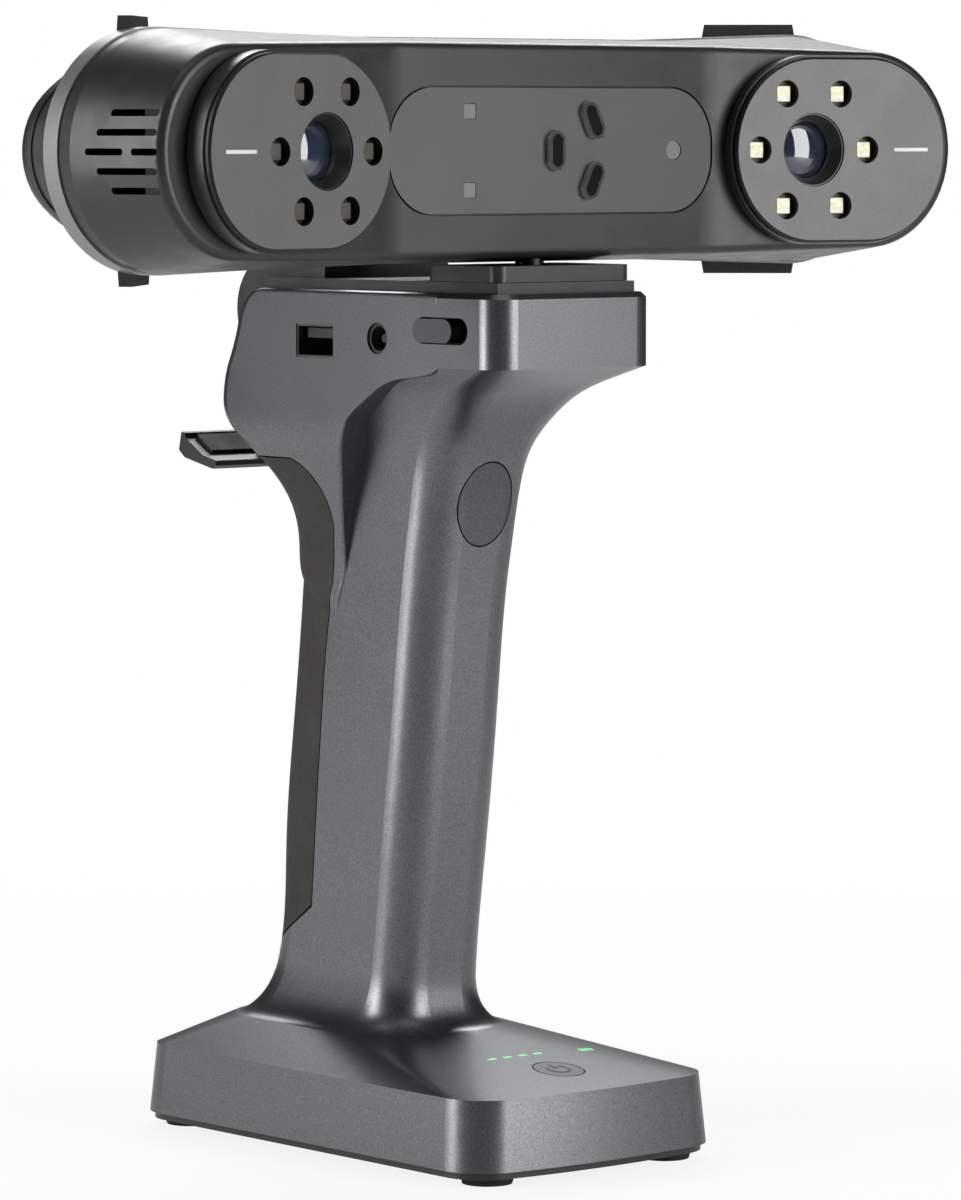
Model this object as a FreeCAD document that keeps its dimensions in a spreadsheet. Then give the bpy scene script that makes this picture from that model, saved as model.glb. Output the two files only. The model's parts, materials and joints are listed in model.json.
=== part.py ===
import FreeCAD, Part
import math
import os
import re
import Sketcher

from FreeCAD import Placement, Rotation, Vector

# Handheld two-camera scanner on a battery handle that stands on its own base.
# Millimetres. +Z is up, the cameras look along -Y, +X is to the right seen from the front.
# The origin lies on the table, under the middle of the base.

# ---------------------------------------------------------------------------
# Driving sizes: name, value (millimetres or degrees), what it measures
# ---------------------------------------------------------------------------
DRIVING_SIZES = (
    # where the scanner head sits
    ("lens_axis_height", 223.8, "table to the camera axes"),
    ("lens_axis_ahead", 53.25, "origin forward to the front of the lens plates"),
    ("lens_spacing", 140.0, "between the two camera axes"),
    ("toe_in_angle", 9.1, "each camera turned towards the middle"),
    # scanner casing, front view: a waist between two round lobes
    ("lobe_offset", 91.6, "middle to the centre of each end lobe"),
    ("waist_offset", 43.0, "middle to where the waist starts to widen"),
    ("bend_radius", 40.0, "soft bends where the waist starts to widen"),
    ("frame_lobe_radius", 26.3, "mid frame, end lobes"),
    ("frame_waist_half", 24.7, "mid frame, half height at the waist"),
    ("shell_step", 0.4, "front shell inside the mid frame's outline"),
    ("shell_draft", 8.0, "front shell narrows towards the front"),
    ("shell_floor", 4.6, "mid frame's outline to the inside of the front shell"),
    ("cover_half_height", 21.5, "rear cover"),
    ("cover_reach", 116.6, "middle to the ends of the rear cover"),
    ("cover_tip_radius", 16.4, "tips of the rear cover"),
    ("cover_shoulder_radius", 36.0, "shoulders of the rear cover"),
    ("frame_front", 30.5, "lens plates back to the mid frame"),
    ("frame_depth", 4.9, "mid frame, front to back"),
    ("cover_depth", 12.7, "rear cover, front to back"),
    ("cover_rounding", 5.0, "radius round the rear cover"),
    ("casing_wall", 2.5, "wall of the scanner's casings"),
    ("flat_setback", 8.4, "lens plates back to the flat middle of the front"),
    ("wing_angle", 7.0, "front of the shell beside the flat middle"),
    ("edge_rounding", 2.0, "front edge of the shell"),
    # end vents
    ("vent_pitch", 4.05, "between the vent slots"),
    ("vent_height", 1.45, "one vent slot"),
    ("vent_front", 1.3, "lens plates back to the front ends of the vent slots"),
    ("vent_rear", 22.1, "lens plates back to the rear end of the middle row"),
    ("vent_step", 3.1, "rear end of each row further out is further forward by"),
    ("vent_bridge", 2.4, "between the two slots of the middle row"),
    ("vent_bridge_setback", 9.9, "lens plates back to that bridge"),
    ("grille_height", 32.0, "crescent vent at each end of the rear cover"),
    ("grille_depth", 6.2, "crescent vent, front to back"),
    ("bumper_length", 25.6, "rubber corner block"),
    ("bumper_width", 3.9, "rubber corner block"),
    ("bumper_angle", 43.0, "corner blocks turned out of line with the front"),
    ("bumper_offset", 88.9, "middle to a corner block"),
    ("bumper_setback", 42.6, "lens plates back to a corner block"),
    ("bumper_reach", 28.7, "camera axes up or down to the end of a corner block"),
    # rear of the casing
    ("rear_button_radius", 6.0, "round button in the rear cover"),
    ("rear_button_level", 6.0, "camera axes up to the rear button"),
    ("usb_c_width", 9.4, "opening of the rear socket"),
    ("usb_c_height", 3.6, "opening of the rear socket"),
    ("rear_screw_across", 82.0, "middle to the rear screws"),
    ("rear_screw_up", 14.0, "camera axes up or down to the rear screws"),
    ("rear_screw_head", 2.7, "rear screws"),
    ("rear_screw_radius", 1.2, "rear screws"),
    # camera housings
    ("plate_radius", 20.75, "round ends of a lens plate"),
    ("plate_reach", 15.2, "camera axis to the outer round end's centre"),
    ("plate_thickness", 1.6, "lens plate"),
    ("plate_chamfer", 0.5, "edge of a lens plate"),
    ("housing_margin", 0.5, "camera housing beyond its plate"),
    ("housing_gap", 0.8, "shadow gap behind a camera housing"),
    ("neck_inset", 2.4, "neck of a camera housing inside its rim"),
    ("camera_hole_radius", 8.25, "opening round the lens"),
    ("lens_radius", 6.4, "front lens"),
    ("lens_setback", 3.3, "lens plate back to the lens seat"),
    ("lens_bulge", 1.5, "crown of the front lens"),
    ("barrel_length", 14.5, "lens barrel behind the plate"),
    ("light_circle_radius", 14.47, "ring of fill lights"),
    ("light_hole_radius", 3.05, "hole in front of each light"),
    ("light_side", 3.4, "one light chip"),
    ("light_setback", 1.5, "lens plate back to the light chips"),
    ("board_thickness", 1.2, "printed circuit boards"),
    # middle of the front
    ("panel_half_width", 46.2, "centre panel"),
    ("panel_half_height", 13.6, "centre panel"),
    ("panel_corner", 12.0, "centre panel"),
    ("panel_thickness", 1.4, "centre panel"),
    ("panel_gap", 0.45, "groove round the centre panel"),
    ("laser_width", 4.4, "laser line generator"),
    ("laser_height", 8.6, "laser line generator"),
    ("laser_corner", 1.5, "corners cut off a laser line generator"),
    ("laser_proud", 1.5, "laser line generators stand out of the panel"),
    ("laser_side_step", 10.6, "upright laser across to the tilted ones"),
    ("laser_rise", 6.6, "tilted lasers above and below the middle"),
    ("laser_tilt", 25.0, "tilted lasers turned from upright"),
    ("dot_offset", 35.2, "middle across to the round window"),
    ("square_offset", 23.8, "middle across to the square windows"),
    ("square_rise", 8.5, "square windows above and below the middle"),
    ("dot_radius", 2.1, "round window"),
    ("square_side", 3.2, "square windows"),
    # mount under the casing
    ("mount_gap", 0.3, "casing down to the quick release plate"),
    ("tripod_radius", 3.175, "quarter-inch screw"),
    ("tripod_setback", 16.5, "lens plates back to the quarter-inch screw"),
    # handle
    ("head_half_width", 23.1, "handle head"),
    ("head_front", 53.1, "origin forward to the front of the head"),
    ("head_top", 192.8, "table to the top of the head"),
    ("head_underside", 176.5, "table to the underside of the head's front"),
    ("head_corner", 6.0, "upright corners of the head"),
    ("grip_half_width", 14.0, "grip across"),
    ("grip_front", 15.2, "front of the grip at its reference height"),
    ("grip_rear", 34.4, "rear of the grip at its reference height"),
    ("grip_reference", 100.0, "table to the grip's reference height"),
    ("grip_corner", 9.0, "upright corners of the grip"),
    ("front_rake", 7.1, "front of the grip leans back towards the foot"),
    ("rear_rake", 6.2, "rear of the grip leans back towards the foot"),
    ("foot_flare", 8.0, "grip spreads into the base by"),
    ("foot_flare_rear", 10.0, "grip spreads into the base by, at the rear"),
    ("foot_rise", 13.0, "height over which the grip spreads"),
    ("flare_start", 130.0, "table to where the grip starts to widen upwards"),
    ("pad_thickness", 2.2, "rubber pad let into the back of the grip"),
    ("cell_diameter", 18.4, "battery cell"),
    ("cell_length", 65.0, "battery cell"),
    # base
    ("foot_height", 1.8, "rubber feet below the base"),
    ("foot_radius", 6.0, "rubber feet"),
    ("foot_inset", 10.5, "edge of the base to a foot's centre"),
    ("base_half_width", 36.3, "base at its lower edge"),
    ("base_half_depth", 63.5, "base at its lower edge"),
    ("base_draft", 1.2, "base narrows upwards by"),
    ("base_edge_height", 19.1, "table to the upper edge of the base"),
    ("base_corner", 11.0, "upright corners of the base"),
    ("base_bow", 3.0, "front and rear edges of the base bulge by"),
    ("slope_top", 26.0, "table to where the sloping top meets the grip"),
    ("cover_plate_thickness", 1.6, "plate under the base"),
    ("base_screw_radius", 1.3, "screws of the plate under the base"),
    # controls
    ("trigger_width", 15.0, "scan button"),
    ("trigger_height", 19.1, "scan button"),
    ("trigger_level", 145.4, "table to the middle of the scan button"),
    ("button_gap", 0.35, "round each button"),
    ("trigger_travel", 0.8, "scan button"),
    ("power_radius", 5.6, "power button"),
    ("power_travel", 0.6, "power button"),
    ("power_ahead", 45.9, "origin forward to the power button"),
    ("power_across", 0.8, "middle across to the power button"),
    ("charge_light_length", 2.4, "one of the four charge lights"),
    ("charge_across", -8.2, "middle across to the first charge light"),
    ("charge_pitch", 4.4, "between the charge lights"),
    ("charge_ahead", 33.9, "origin forward to the charge lights"),
    ("status_light_length", 4.0, "wide status light"),
    ("status_across", 18.5, "middle across to the status light"),
    ("status_ahead", 34.8, "origin forward to the status light"),
    ("slider_length", 13.2, "knob of the slide switch"),
    ("slider_height", 5.2, "knob of the slide switch"),
    ("slider_travel", 4.2, "slide switch"),
    ("slider_proud", 0.9, "knob of the slide switch stands out by"),
    ("slider_ahead", 32.0, "origin forward to the knob's middle, switched off"),
    ("slider_level", 184.6, "table to the slide switch"),
    ("usb_width", 13.3, "opening of the USB socket"),
    ("usb_height", 7.4, "opening of the USB socket"),
    ("usb_behind", 10.05, "origin back to the USB socket"),
    ("usb_level", 181.3, "table to the USB socket"),
    ("jack_radius", 3.5, "opening of the power jack"),
    ("jack_ahead", 12.05, "origin forward to the power jack"),
    ("jack_level", 182.4, "table to the power jack"),
    # phone holder on the back of the head
    ("hub_behind", 32.75, "origin back to the holder's hinge"),
    ("hub_level", 187.8, "table to the holder's hinge"),
    ("hub_radius", 12.0, "ears of the hinge"),
    ("ear_outer", 18.0, "outside of the ears"),
    ("arm_half_width", 12.9, "holder arm at its hinge"),
    ("plate_half_width", 6.6, "holder arm behind the phone"),
    ("tongue_half_width", 4.4, "lower jaw's tongue inside the arm"),
    ("arm_thickness", 5.0, "holder arm"),
    ("holder_tilt", 12.0, "holder arm leans back from upright"),
    ("jaw_half_width", 22.0, "jaws"),
    ("arm_reach", 7.2, "hinge back to the arm"),
    ("jaw_depth", 9.2, "jaws stand out from the arm by"),
    ("jaw_slope", 15.0, "gripping faces rise towards the tips"),
    ("jaw_thickness", 2.2, "jaws"),
    ("phone_gap", 58.0, "between the jaws when closed"),
    ("jaw_below", 37.2, "hinge to the lower jaw's gripping face"),
    ("jaw_travel", 22.0, "lower jaw opens by"),
    ("pin_radius", 2.0, "hinge pin"),
    ("running_clearance", 0.05, "pin in its hole, on the radius"),
    ("side_clearance", 0.35, "between parts that move past each other"),
)

doc = FreeCAD.newDocument("HandheldScanner")
sheet = doc.addObject("Spreadsheet::Sheet", "Sizes")
for row, (alias, value, meaning) in enumerate(DRIVING_SIZES, start=1):
    sheet.set(f"A{row}", meaning)
    sheet.set(f"B{row}", str(value))
    sheet.setAlias(f"B{row}", alias)
doc.recompute()

size = {alias: value for alias, value, meaning in DRIVING_SIZES}


# ---------------------------------------------------------------------------
# Helpers: every rule is written with the bare names of the sheet
# ---------------------------------------------------------------------------
def formula(rule):
    """Point the names in a rule at the sheet, so that FreeCAD can work it out."""
    return re.sub(r"[a-z]+(?:_[a-z]+)+", lambda word: "Sizes." + word.group(0), str(rule))


def bind(item, rules):
    """Tie properties of an object to rules."""
    for name, rule in rules.items():
        item.setExpression(name, formula(rule))
    return item


def move(item, x="0", y="0", z="0"):
    """Tie the position of an object to rules."""
    return bind(item, {"Placement.Base.x": x, "Placement.Base.y": y, "Placement.Base.z": z})


def turn(item, axis, angle):
    """Turn an object about one of its own axes by a rule in degrees."""
    item.Placement = Placement(item.Placement.Base, Rotation(Vector(*axis), 10))
    return bind(item, {"Placement.Rotation.Angle": angle})


def box(name, length, width, height, x, y, z):
    item = doc.addObject("Part::Box", name)
    bind(item, {"Length": length, "Width": width, "Height": height})
    return move(item, x, y, z)


def slab(name, half_width, front, rear, bottom, top):
    """A block across the middle plane, between a front, a rear, a bottom and a top."""
    return box(name, f"2 * ({half_width})", f"({rear}) - ({front})", f"({top}) - ({bottom})",
               f"-({half_width})", front, bottom)


def cylinder(name, radius, length, x, y, z, along="z"):
    item = doc.addObject("Part::Cylinder", name)
    bind(item, {"Radius": radius, "Height": length})
    if along == "x":
        item.Placement = Placement(Vector(), Rotation(Vector(0, 1, 0), 90))
    if along == "y":
        item.Placement = Placement(Vector(), Rotation(Vector(1, 0, 0), -90))
    return move(item, x, y, z)


def cone(name, first_radius, second_radius, length, x, y, z):
    """A cone whose axis runs back, along +Y."""
    item = doc.addObject("Part::Cone", name)
    bind(item, {"Radius1": first_radius, "Radius2": second_radius, "Height": length})
    item.Placement = Placement(Vector(), Rotation(Vector(1, 0, 0), -90))
    return move(item, x, y, z)


def slot_bar(name, half_length, half_height, depth, x, y, z):
    """A bar along Y with round ends, cutting along X: one vent slot or switch slot."""
    bar = box(name + "_bar", depth, f"2 * ({half_length}) - 2 * ({half_height})", f"2 * ({half_height})",
              x, f"({y}) - ({half_length}) + ({half_height})", f"({z}) - ({half_height})")
    front = cylinder(name + "_front", half_height, depth, x,
                     f"({y}) - ({half_length}) + ({half_height})", z, "x")
    rear = cylinder(name + "_rear", half_height, depth, x,
                    f"({y}) + ({half_length}) - ({half_height})", z, "x")
    return fuse(name, bar, front, rear)


def fuse(name, *items):
    item = doc.addObject("Part::MultiFuse", name)
    item.Shapes = list(items)
    item.Refine = True
    return item


def cut(name, base, *tools):
    item = doc.addObject("Part::Cut", name)
    item.Base = base
    item.Tool = tools[0] if len(tools) == 1 else fuse(name + "_tools", *tools)
    item.Refine = True
    return item


def common(name, first, second):
    item = doc.addObject("Part::Common", name)
    item.Base = first
    item.Tool = second
    return item


def group(name, *items):
    item = doc.addObject("Part::Compound", name)
    item.Links = list(items)
    return item


def mirrored(name, item):
    """The same piece on the other side of the middle plane."""
    copy = doc.addObject("Part::Mirroring", name)
    copy.Source = item
    copy.Normal = Vector(1, 0, 0)
    return copy


def rounded(name, item, radius, chosen):
    """Round the edges that a test picks out."""
    doc.recompute()
    edges = [number for number, edge in enumerate(item.Shape.Edges, start=1) if chosen(edge)]
    result = doc.addObject("Part::Fillet", name)
    result.Base = item
    result.Edges = [(number, radius, radius) for number in edges]
    return result


def made(name, shape):
    """A free-form piece: its shape is worked out below from the same sizes."""
    item = doc.addObject("Part::Feature", name)
    item.Shape = shape
    return item


# --- sketches ---------------------------------------------------------------
def new_body(name):
    return doc.addObject("PartDesign::Body", name)


def new_sketch(body, name, role, offset="0"):
    """A sketch on one of the body's own planes, shifted along the plane's normal."""
    plane = next(item for item in body.Origin.OriginFeatures if item.Role == role)
    sketch = body.newObject("Sketcher::SketchObject", name)
    sketch.AttachmentSupport = [(plane, "")]
    sketch.MapMode = "FlatFace"
    return bind(sketch, {"AttachmentOffset.Base.z": offset})


def dimension(sketch, rule, kind, *where):
    """A dimension in a sketch, tied to a rule."""
    value = float(sketch.evalExpression(formula(rule)))
    number = sketch.addConstraint(Sketcher.Constraint(kind, *where, value))
    name = f"size_{number}"
    sketch.renameConstraint(number, name)
    sketch.setExpression("Constraints." + name, formula(rule))


def line(sketch, x1, y1, x2, y2):
    return sketch.addGeometry(Part.LineSegment(Vector(x1, y1, 0), Vector(x2, y2, 0)))


def arc(sketch, x, y, radius, start, end):
    circle = Part.Circle(Vector(x, y, 0), Vector(0, 0, 1), radius)
    return sketch.addGeometry(Part.ArcOfCircle(circle, math.radians(start), math.radians(end)))


def join(sketch, kind, *ends):
    """Join line and arc ends in pairs."""
    for first, first_end, second, second_end in ends:
        sketch.addConstraint(Sketcher.Constraint(kind, first, first_end, second, second_end))


def pad(body, sketch, length, reverse=False):
    feature = body.newObject("PartDesign::Pad", sketch.Name + "_pad")
    feature.Profile = sketch
    feature.Reversed = reverse
    return bind(feature, {"Length": length})


def pocket(body, sketch, length, reverse=False):
    feature = body.newObject("PartDesign::Pocket", sketch.Name + "_pocket")
    feature.Profile = sketch
    feature.Reversed = reverse
    return bind(feature, {"Length": length})


def dogbone(sketch, inset):
    """The casing's outline: a straight waist that widens into two round lobes."""
    centre = size["lobe_offset"]
    bend = size["waist_offset"]
    half = size["frame_waist_half"] - 2
    radius = size["frame_lobe_radius"] - 2
    right = arc(sketch, centre, 0, radius, -92, 92)
    left = arc(sketch, -centre, 0, radius, 88, 272)
    top = line(sketch, -bend, half, bend, half)
    bottom = line(sketch, -bend, -half, bend, -half)
    for side, lobe in ((1, right), (-1, left)):
        for face, waist in ((1, top), (-1, bottom)):
            slope = line(sketch, side * (bend + 3), face * half, side * centre, face * radius)
            turning = 90 + 2 * side if face < 0 else 270 + 2 * side
            bow = arc(sketch, side * bend, face * (half + 60), 60, *sorted((turning, 90 if face < 0 else 270)))
            waist_end = 2 if side > 0 else 1
            bow_ends = (2, 1) if side * face < 0 else (1, 2)
            lobe_end = 2 if side * face > 0 else 1
            join(sketch, "Tangent", (waist, waist_end, bow, bow_ends[0]), (bow, bow_ends[1], slope, 1),
                 (slope, 2, lobe, lobe_end))
            dimension(sketch, "bend_radius", "Radius", bow)
    sketch.addConstraint(Sketcher.Constraint("Equal", right, left))
    sketch.addConstraint(Sketcher.Constraint("PointOnObject", right, 3, -1))
    sketch.addConstraint(Sketcher.Constraint("Symmetric", right, 3, left, 3, -2))
    sketch.addConstraint(Sketcher.Constraint("Symmetric", top, 1, top, 2, -2))
    sketch.addConstraint(Sketcher.Constraint("Symmetric", top, 1, bottom, 1, -1))
    sketch.addConstraint(Sketcher.Constraint("Symmetric", top, 2, bottom, 2, -1))
    dimension(sketch, f"frame_lobe_radius - ({inset})", "Radius", right)
    dimension(sketch, "lobe_offset", "DistanceX", -1, 1, right, 3)
    dimension(sketch, "waist_offset", "DistanceX", -1, 1, top, 2)
    dimension(sketch, f"frame_waist_half - ({inset})", "DistanceY", -1, 1, top, 2)
    return sketch


def oval(sketch, inset):
    """The rear cover's outline: straight in the middle, pointed round the ends."""
    high, reach = size["cover_half_height"], size["cover_reach"]
    tip, shoulder = size["cover_tip_radius"], size["cover_shoulder_radius"]
    along = math.sqrt((shoulder - tip) ** 2 - (shoulder - high) ** 2)
    start = reach - tip - along
    lift = math.degrees(math.atan2(shoulder - high, along))
    top = line(sketch, -start, high, start, high)
    bottom = line(sketch, -start, -high, start, -high)
    for side in (1, -1):
        angles = (-lift, lift) if side > 0 else (180 - lift, 180 + lift)
        end = arc(sketch, side * (reach - tip), 0, tip, *angles)
        upper = arc(sketch, side * start, high - shoulder, shoulder, *((lift, 90) if side > 0 else (90, 180 - lift)))
        lower = arc(sketch, side * start, shoulder - high, shoulder,
                    *((270, 360 - lift) if side > 0 else (180 + lift, 270)))
        near, far = (1, 2) if side > 0 else (2, 1)
        join(sketch, "Tangent", (top, 3 - near, upper, far), (upper, near, end, far), (end, near, lower, far),
             (lower, near, bottom, 3 - near))
        if side > 0:
            first_end, first_upper = end, upper
            dimension(sketch, f"cover_tip_radius - ({inset})", "Radius", end)
            dimension(sketch, f"cover_shoulder_radius - ({inset})", "Radius", upper)
            dimension(sketch, "cover_reach - cover_tip_radius", "DistanceX", -1, 1, end, 3)
        else:
            sketch.addConstraint(Sketcher.Constraint("Equal", first_end, end))
            sketch.addConstraint(Sketcher.Constraint("Equal", first_upper, upper))
        sketch.addConstraint(Sketcher.Constraint("PointOnObject", end, 3, -1))
        sketch.addConstraint(Sketcher.Constraint("Equal", upper, lower))
    sketch.addConstraint(Sketcher.Constraint("Symmetric", top, 1, top, 2, -2))
    sketch.addConstraint(Sketcher.Constraint("Symmetric", top, 2, bottom, 2, -1))
    dimension(sketch, f"cover_half_height - ({inset})", "DistanceY", -1, 1, top, 2)
    return sketch


def stadium(sketch, side, radius, reach="plate_reach"):
    """Two round ends: one on the camera axis, the other further out on its side."""
    far = side * size["plate_reach"]
    low, high = min(0, far), max(0, far)
    start = size["plate_radius"]
    right = arc(sketch, high, 0, start, -90, 90)
    left = arc(sketch, low, 0, start, 90, 270)
    top = line(sketch, low, start, high, start)
    bottom = line(sketch, low, -start, high, -start)
    join(sketch, "Tangent", (right, 2, top, 2), (left, 1, top, 1),
         (left, 2, bottom, 1), (right, 1, bottom, 2))
    near, outer = (left, right) if side > 0 else (right, left)
    sketch.addConstraint(Sketcher.Constraint("Coincident", near, 3, -1, 1))
    sketch.addConstraint(Sketcher.Constraint("PointOnObject", outer, 3, -1))
    dimension(sketch, radius, "Radius", right)
    dimension(sketch, reach, "DistanceX", left, 3, right, 3)
    return sketch


def rounded_rectangle(sketch, half_width, half_height, radius, guess):
    """A rectangle round the sketch's centre; the guess only starts the solver."""
    wide, high, corner = guess
    x, y = wide - corner, high - corner
    first = arc(sketch, x, y, corner, 0, 90)
    second = arc(sketch, -x, y, corner, 90, 180)
    third = arc(sketch, -x, -y, corner, 180, 270)
    fourth = arc(sketch, x, -y, corner, 270, 360)
    top = line(sketch, x, high, -x, high)
    left = line(sketch, -wide, y, -wide, -y)
    bottom = line(sketch, -x, -high, x, -high)
    right = line(sketch, wide, -y, wide, y)
    join(sketch, "Tangent", (first, 2, top, 1), (top, 2, second, 1), (second, 2, left, 1), (left, 2, third, 1),
         (third, 2, bottom, 1), (bottom, 2, fourth, 1), (fourth, 2, right, 1), (right, 2, first, 1))
    for flat in (top, bottom):
        sketch.addConstraint(Sketcher.Constraint("Horizontal", flat))
    for upright in (left, right):
        sketch.addConstraint(Sketcher.Constraint("Vertical", upright))
    for other in (second, third, fourth):
        sketch.addConstraint(Sketcher.Constraint("Equal", first, other))
    sketch.addConstraint(Sketcher.Constraint("Symmetric", first, 3, third, 3, -1, 1))
    dimension(sketch, radius, "Radius", first)
    dimension(sketch, half_width, "DistanceX", -1, 1, right, 1)
    dimension(sketch, half_height, "DistanceY", -1, 1, top, 1)
    return sketch


def ring(sketch, radius, across="0", up="0"):
    """A circle in a sketch, off its centre by two rules."""
    circle = sketch.addGeometry(Part.Circle(Vector(1, 1, 0), Vector(0, 0, 1), 3))
    dimension(sketch, radius, "Radius", circle)
    if across == "0":
        sketch.addConstraint(Sketcher.Constraint("PointOnObject", circle, 3, -2))
    else:
        dimension(sketch, across, "DistanceX", -1, 1, circle, 3)
    if up == "0":
        sketch.addConstraint(Sketcher.Constraint("PointOnObject", circle, 3, -1))
    else:
        dimension(sketch, up, "DistanceY", -1, 1, circle, 3)
    return sketch


def front_profile(sketch, setback, reach):
    """Seen from above: all that lies beyond the flat middle and the two wings of the front."""
    bend = size["waist_offset"]
    flat = size["flat_setback"]
    drop = "bend_radius * (1 - cos(wing_angle)) + (80 - bend_radius * sin(wing_angle)) * tan(wing_angle)"
    tip = flat - 80 * math.tan(math.radians(size["wing_angle"]))
    angle = size["wing_angle"]
    middle = line(sketch, -bend, flat, bend, flat)
    right_bow = arc(sketch, bend, flat - 60, 60, 90 - angle, 90)
    left_bow = arc(sketch, -bend, flat - 60, 60, 90, 90 + angle)
    right_wing = line(sketch, bend + 5, flat - 1, bend + 80, tip)
    left_wing = line(sketch, -bend - 80, tip, -bend - 5, flat - 1)
    right_end = line(sketch, bend + 80, tip, bend + 80, reach)
    left_end = line(sketch, -bend - 80, reach, -bend - 80, tip)
    back = line(sketch, bend + 80, reach, -bend - 80, reach)
    join(sketch, "Tangent", (middle, 2, right_bow, 2), (right_bow, 1, right_wing, 1),
         (middle, 1, left_bow, 1), (left_bow, 2, left_wing, 2))
    join(sketch, "Coincident", (right_wing, 2, right_end, 1), (right_end, 2, back, 1),
         (back, 2, left_end, 1), (left_end, 2, left_wing, 1))
    sketch.addConstraint(Sketcher.Constraint("Vertical", right_end))
    sketch.addConstraint(Sketcher.Constraint("Vertical", left_end))
    sketch.addConstraint(Sketcher.Constraint("Horizontal", back))
    sketch.addConstraint(Sketcher.Constraint("Equal", right_bow, left_bow))
    sketch.addConstraint(Sketcher.Constraint("Symmetric", middle, 1, middle, 2, -2))
    sketch.addConstraint(Sketcher.Constraint("Symmetric", right_wing, 2, left_wing, 1, -2))
    dimension(sketch, "bend_radius", "Radius", right_bow)
    dimension(sketch, "waist_offset", "DistanceX", -1, 1, middle, 2)
    dimension(sketch, setback, "DistanceY", -1, 1, middle, 2)
    dimension(sketch, "waist_offset + 80", "DistanceX", -1, 1, right_wing, 2)
    dimension(sketch, drop, "DistanceY", right_wing, 2, middle, 2)
    dimension(sketch, str(abs(reach)), "DistanceY", *((-1, 1, back, 1) if reach > 0 else (back, 1, -1, 1)))
    return sketch


# ---------------------------------------------------------------------------
# Frames: the scanner head and each camera module are drawn round their own lens plates
# ---------------------------------------------------------------------------
def seat(item):
    """From the scanner's frame, with the lens plates at Y = 0 and the lens axes at Z = 0."""
    return move(item, "0", "-lens_axis_ahead", "lens_axis_height")


def aim(item, side):
    """From a camera module's frame to the scanner's frame."""
    turn(item, (0, 0, -side), "toe_in_angle")
    return move(item, f"{side} * lens_spacing / 2")


def seat_module(item, side):
    """From a camera module's frame straight to the table's."""
    turn(item, (0, 0, -side), "toe_in_angle")
    return move(item, f"{side} * lens_spacing / 2", "-lens_axis_ahead", "lens_axis_height")


def stadium_block(name, side, radius, front, rear):
    body = new_body(name)
    sketch = stadium(new_sketch(body, name + "_outline", "XZ_Plane", f"-({front})"), side, radius)
    pad(body, sketch, f"({rear}) - ({front})", reverse=True)
    return body


def round_block(name, radius, front, rear):
    body = new_body(name)
    sketch = ring(new_sketch(body, name + "_outline", "XZ_Plane", f"-({front})"), radius)
    pad(body, sketch, f"({rear}) - ({front})", reverse=True)
    return body


def dogbone_block(name, inset, front, rear):
    body = new_body(name)
    sketch = dogbone(new_sketch(body, name + "_outline", "XZ_Plane", f"-({front})"), inset)
    pad(body, sketch, f"({rear}) - ({front})", reverse=True)
    return body


def oval_block(name, inset, front, rear):
    body = new_body(name)
    sketch = oval(new_sketch(body, name + "_outline", "XZ_Plane", f"-({front})"), inset)
    pad(body, sketch, f"({rear}) - ({front})", reverse=True)
    return body


def profile_block(name, setback, reach):
    """A tall block beyond the front of the casing, seen from above."""
    body = new_body(name)
    sketch = front_profile(new_sketch(body, name + "_outline", "XY_Plane", "-40"), setback, reach)
    pad(body, sketch, "80")
    return body


SIDES = (("left", -1), ("right", 1))

# ---------------------------------------------------------------------------
# Scanner casing
# ---------------------------------------------------------------------------
# four rubber corner blocks, cut to sit in the casing's wall
bumper_blocks = []
for side in (-1, 1):
    for face in (-1, 1):
        block = doc.addObject("Part::Wedge", f"bumper_block_{len(bumper_blocks)}")
        bind(block, {"Xmin": "-bumper_length / 2", "Xmax": "bumper_length / 2", "Zmin": "-bumper_width / 2",
                     "Zmax": "bumper_width / 2", "Ymin": "0", "Ymax": "bumper_reach - 14",
                     "X2min": "-bumper_length / 2 + 2.6", "X2max": "bumper_length / 2 - 2.6",
                     "Z2min": "-bumper_width / 2 + 0.5", "Z2max": "bumper_width / 2 - 0.5"})
        upright = Rotation(Vector(1, 0, 0), face * 90)
        block.Placement = Placement(Vector(side * size["bumper_offset"], size["bumper_setback"], face * 14),
                                    Rotation(Vector(0, 0, 1), -side * size["bumper_angle"]) * upright)
        bumper_blocks.append(block)
bumper_core = oval_block("bumper_core", "1.4", "20", "70")
bumper_seats = fuse("bumper_seats", *bumper_blocks)
corner_bumpers = seat(cut("corner_bumpers", bumper_seats, bumper_core))

def on_front_outline(edge):
    """True for the outline of the front face, false for the bends across it."""
    box = edge.BoundBox
    return box.YMax < size["flat_setback"] + 0.01 and (box.ZLength < 5 or box.XLength > 5)


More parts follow.
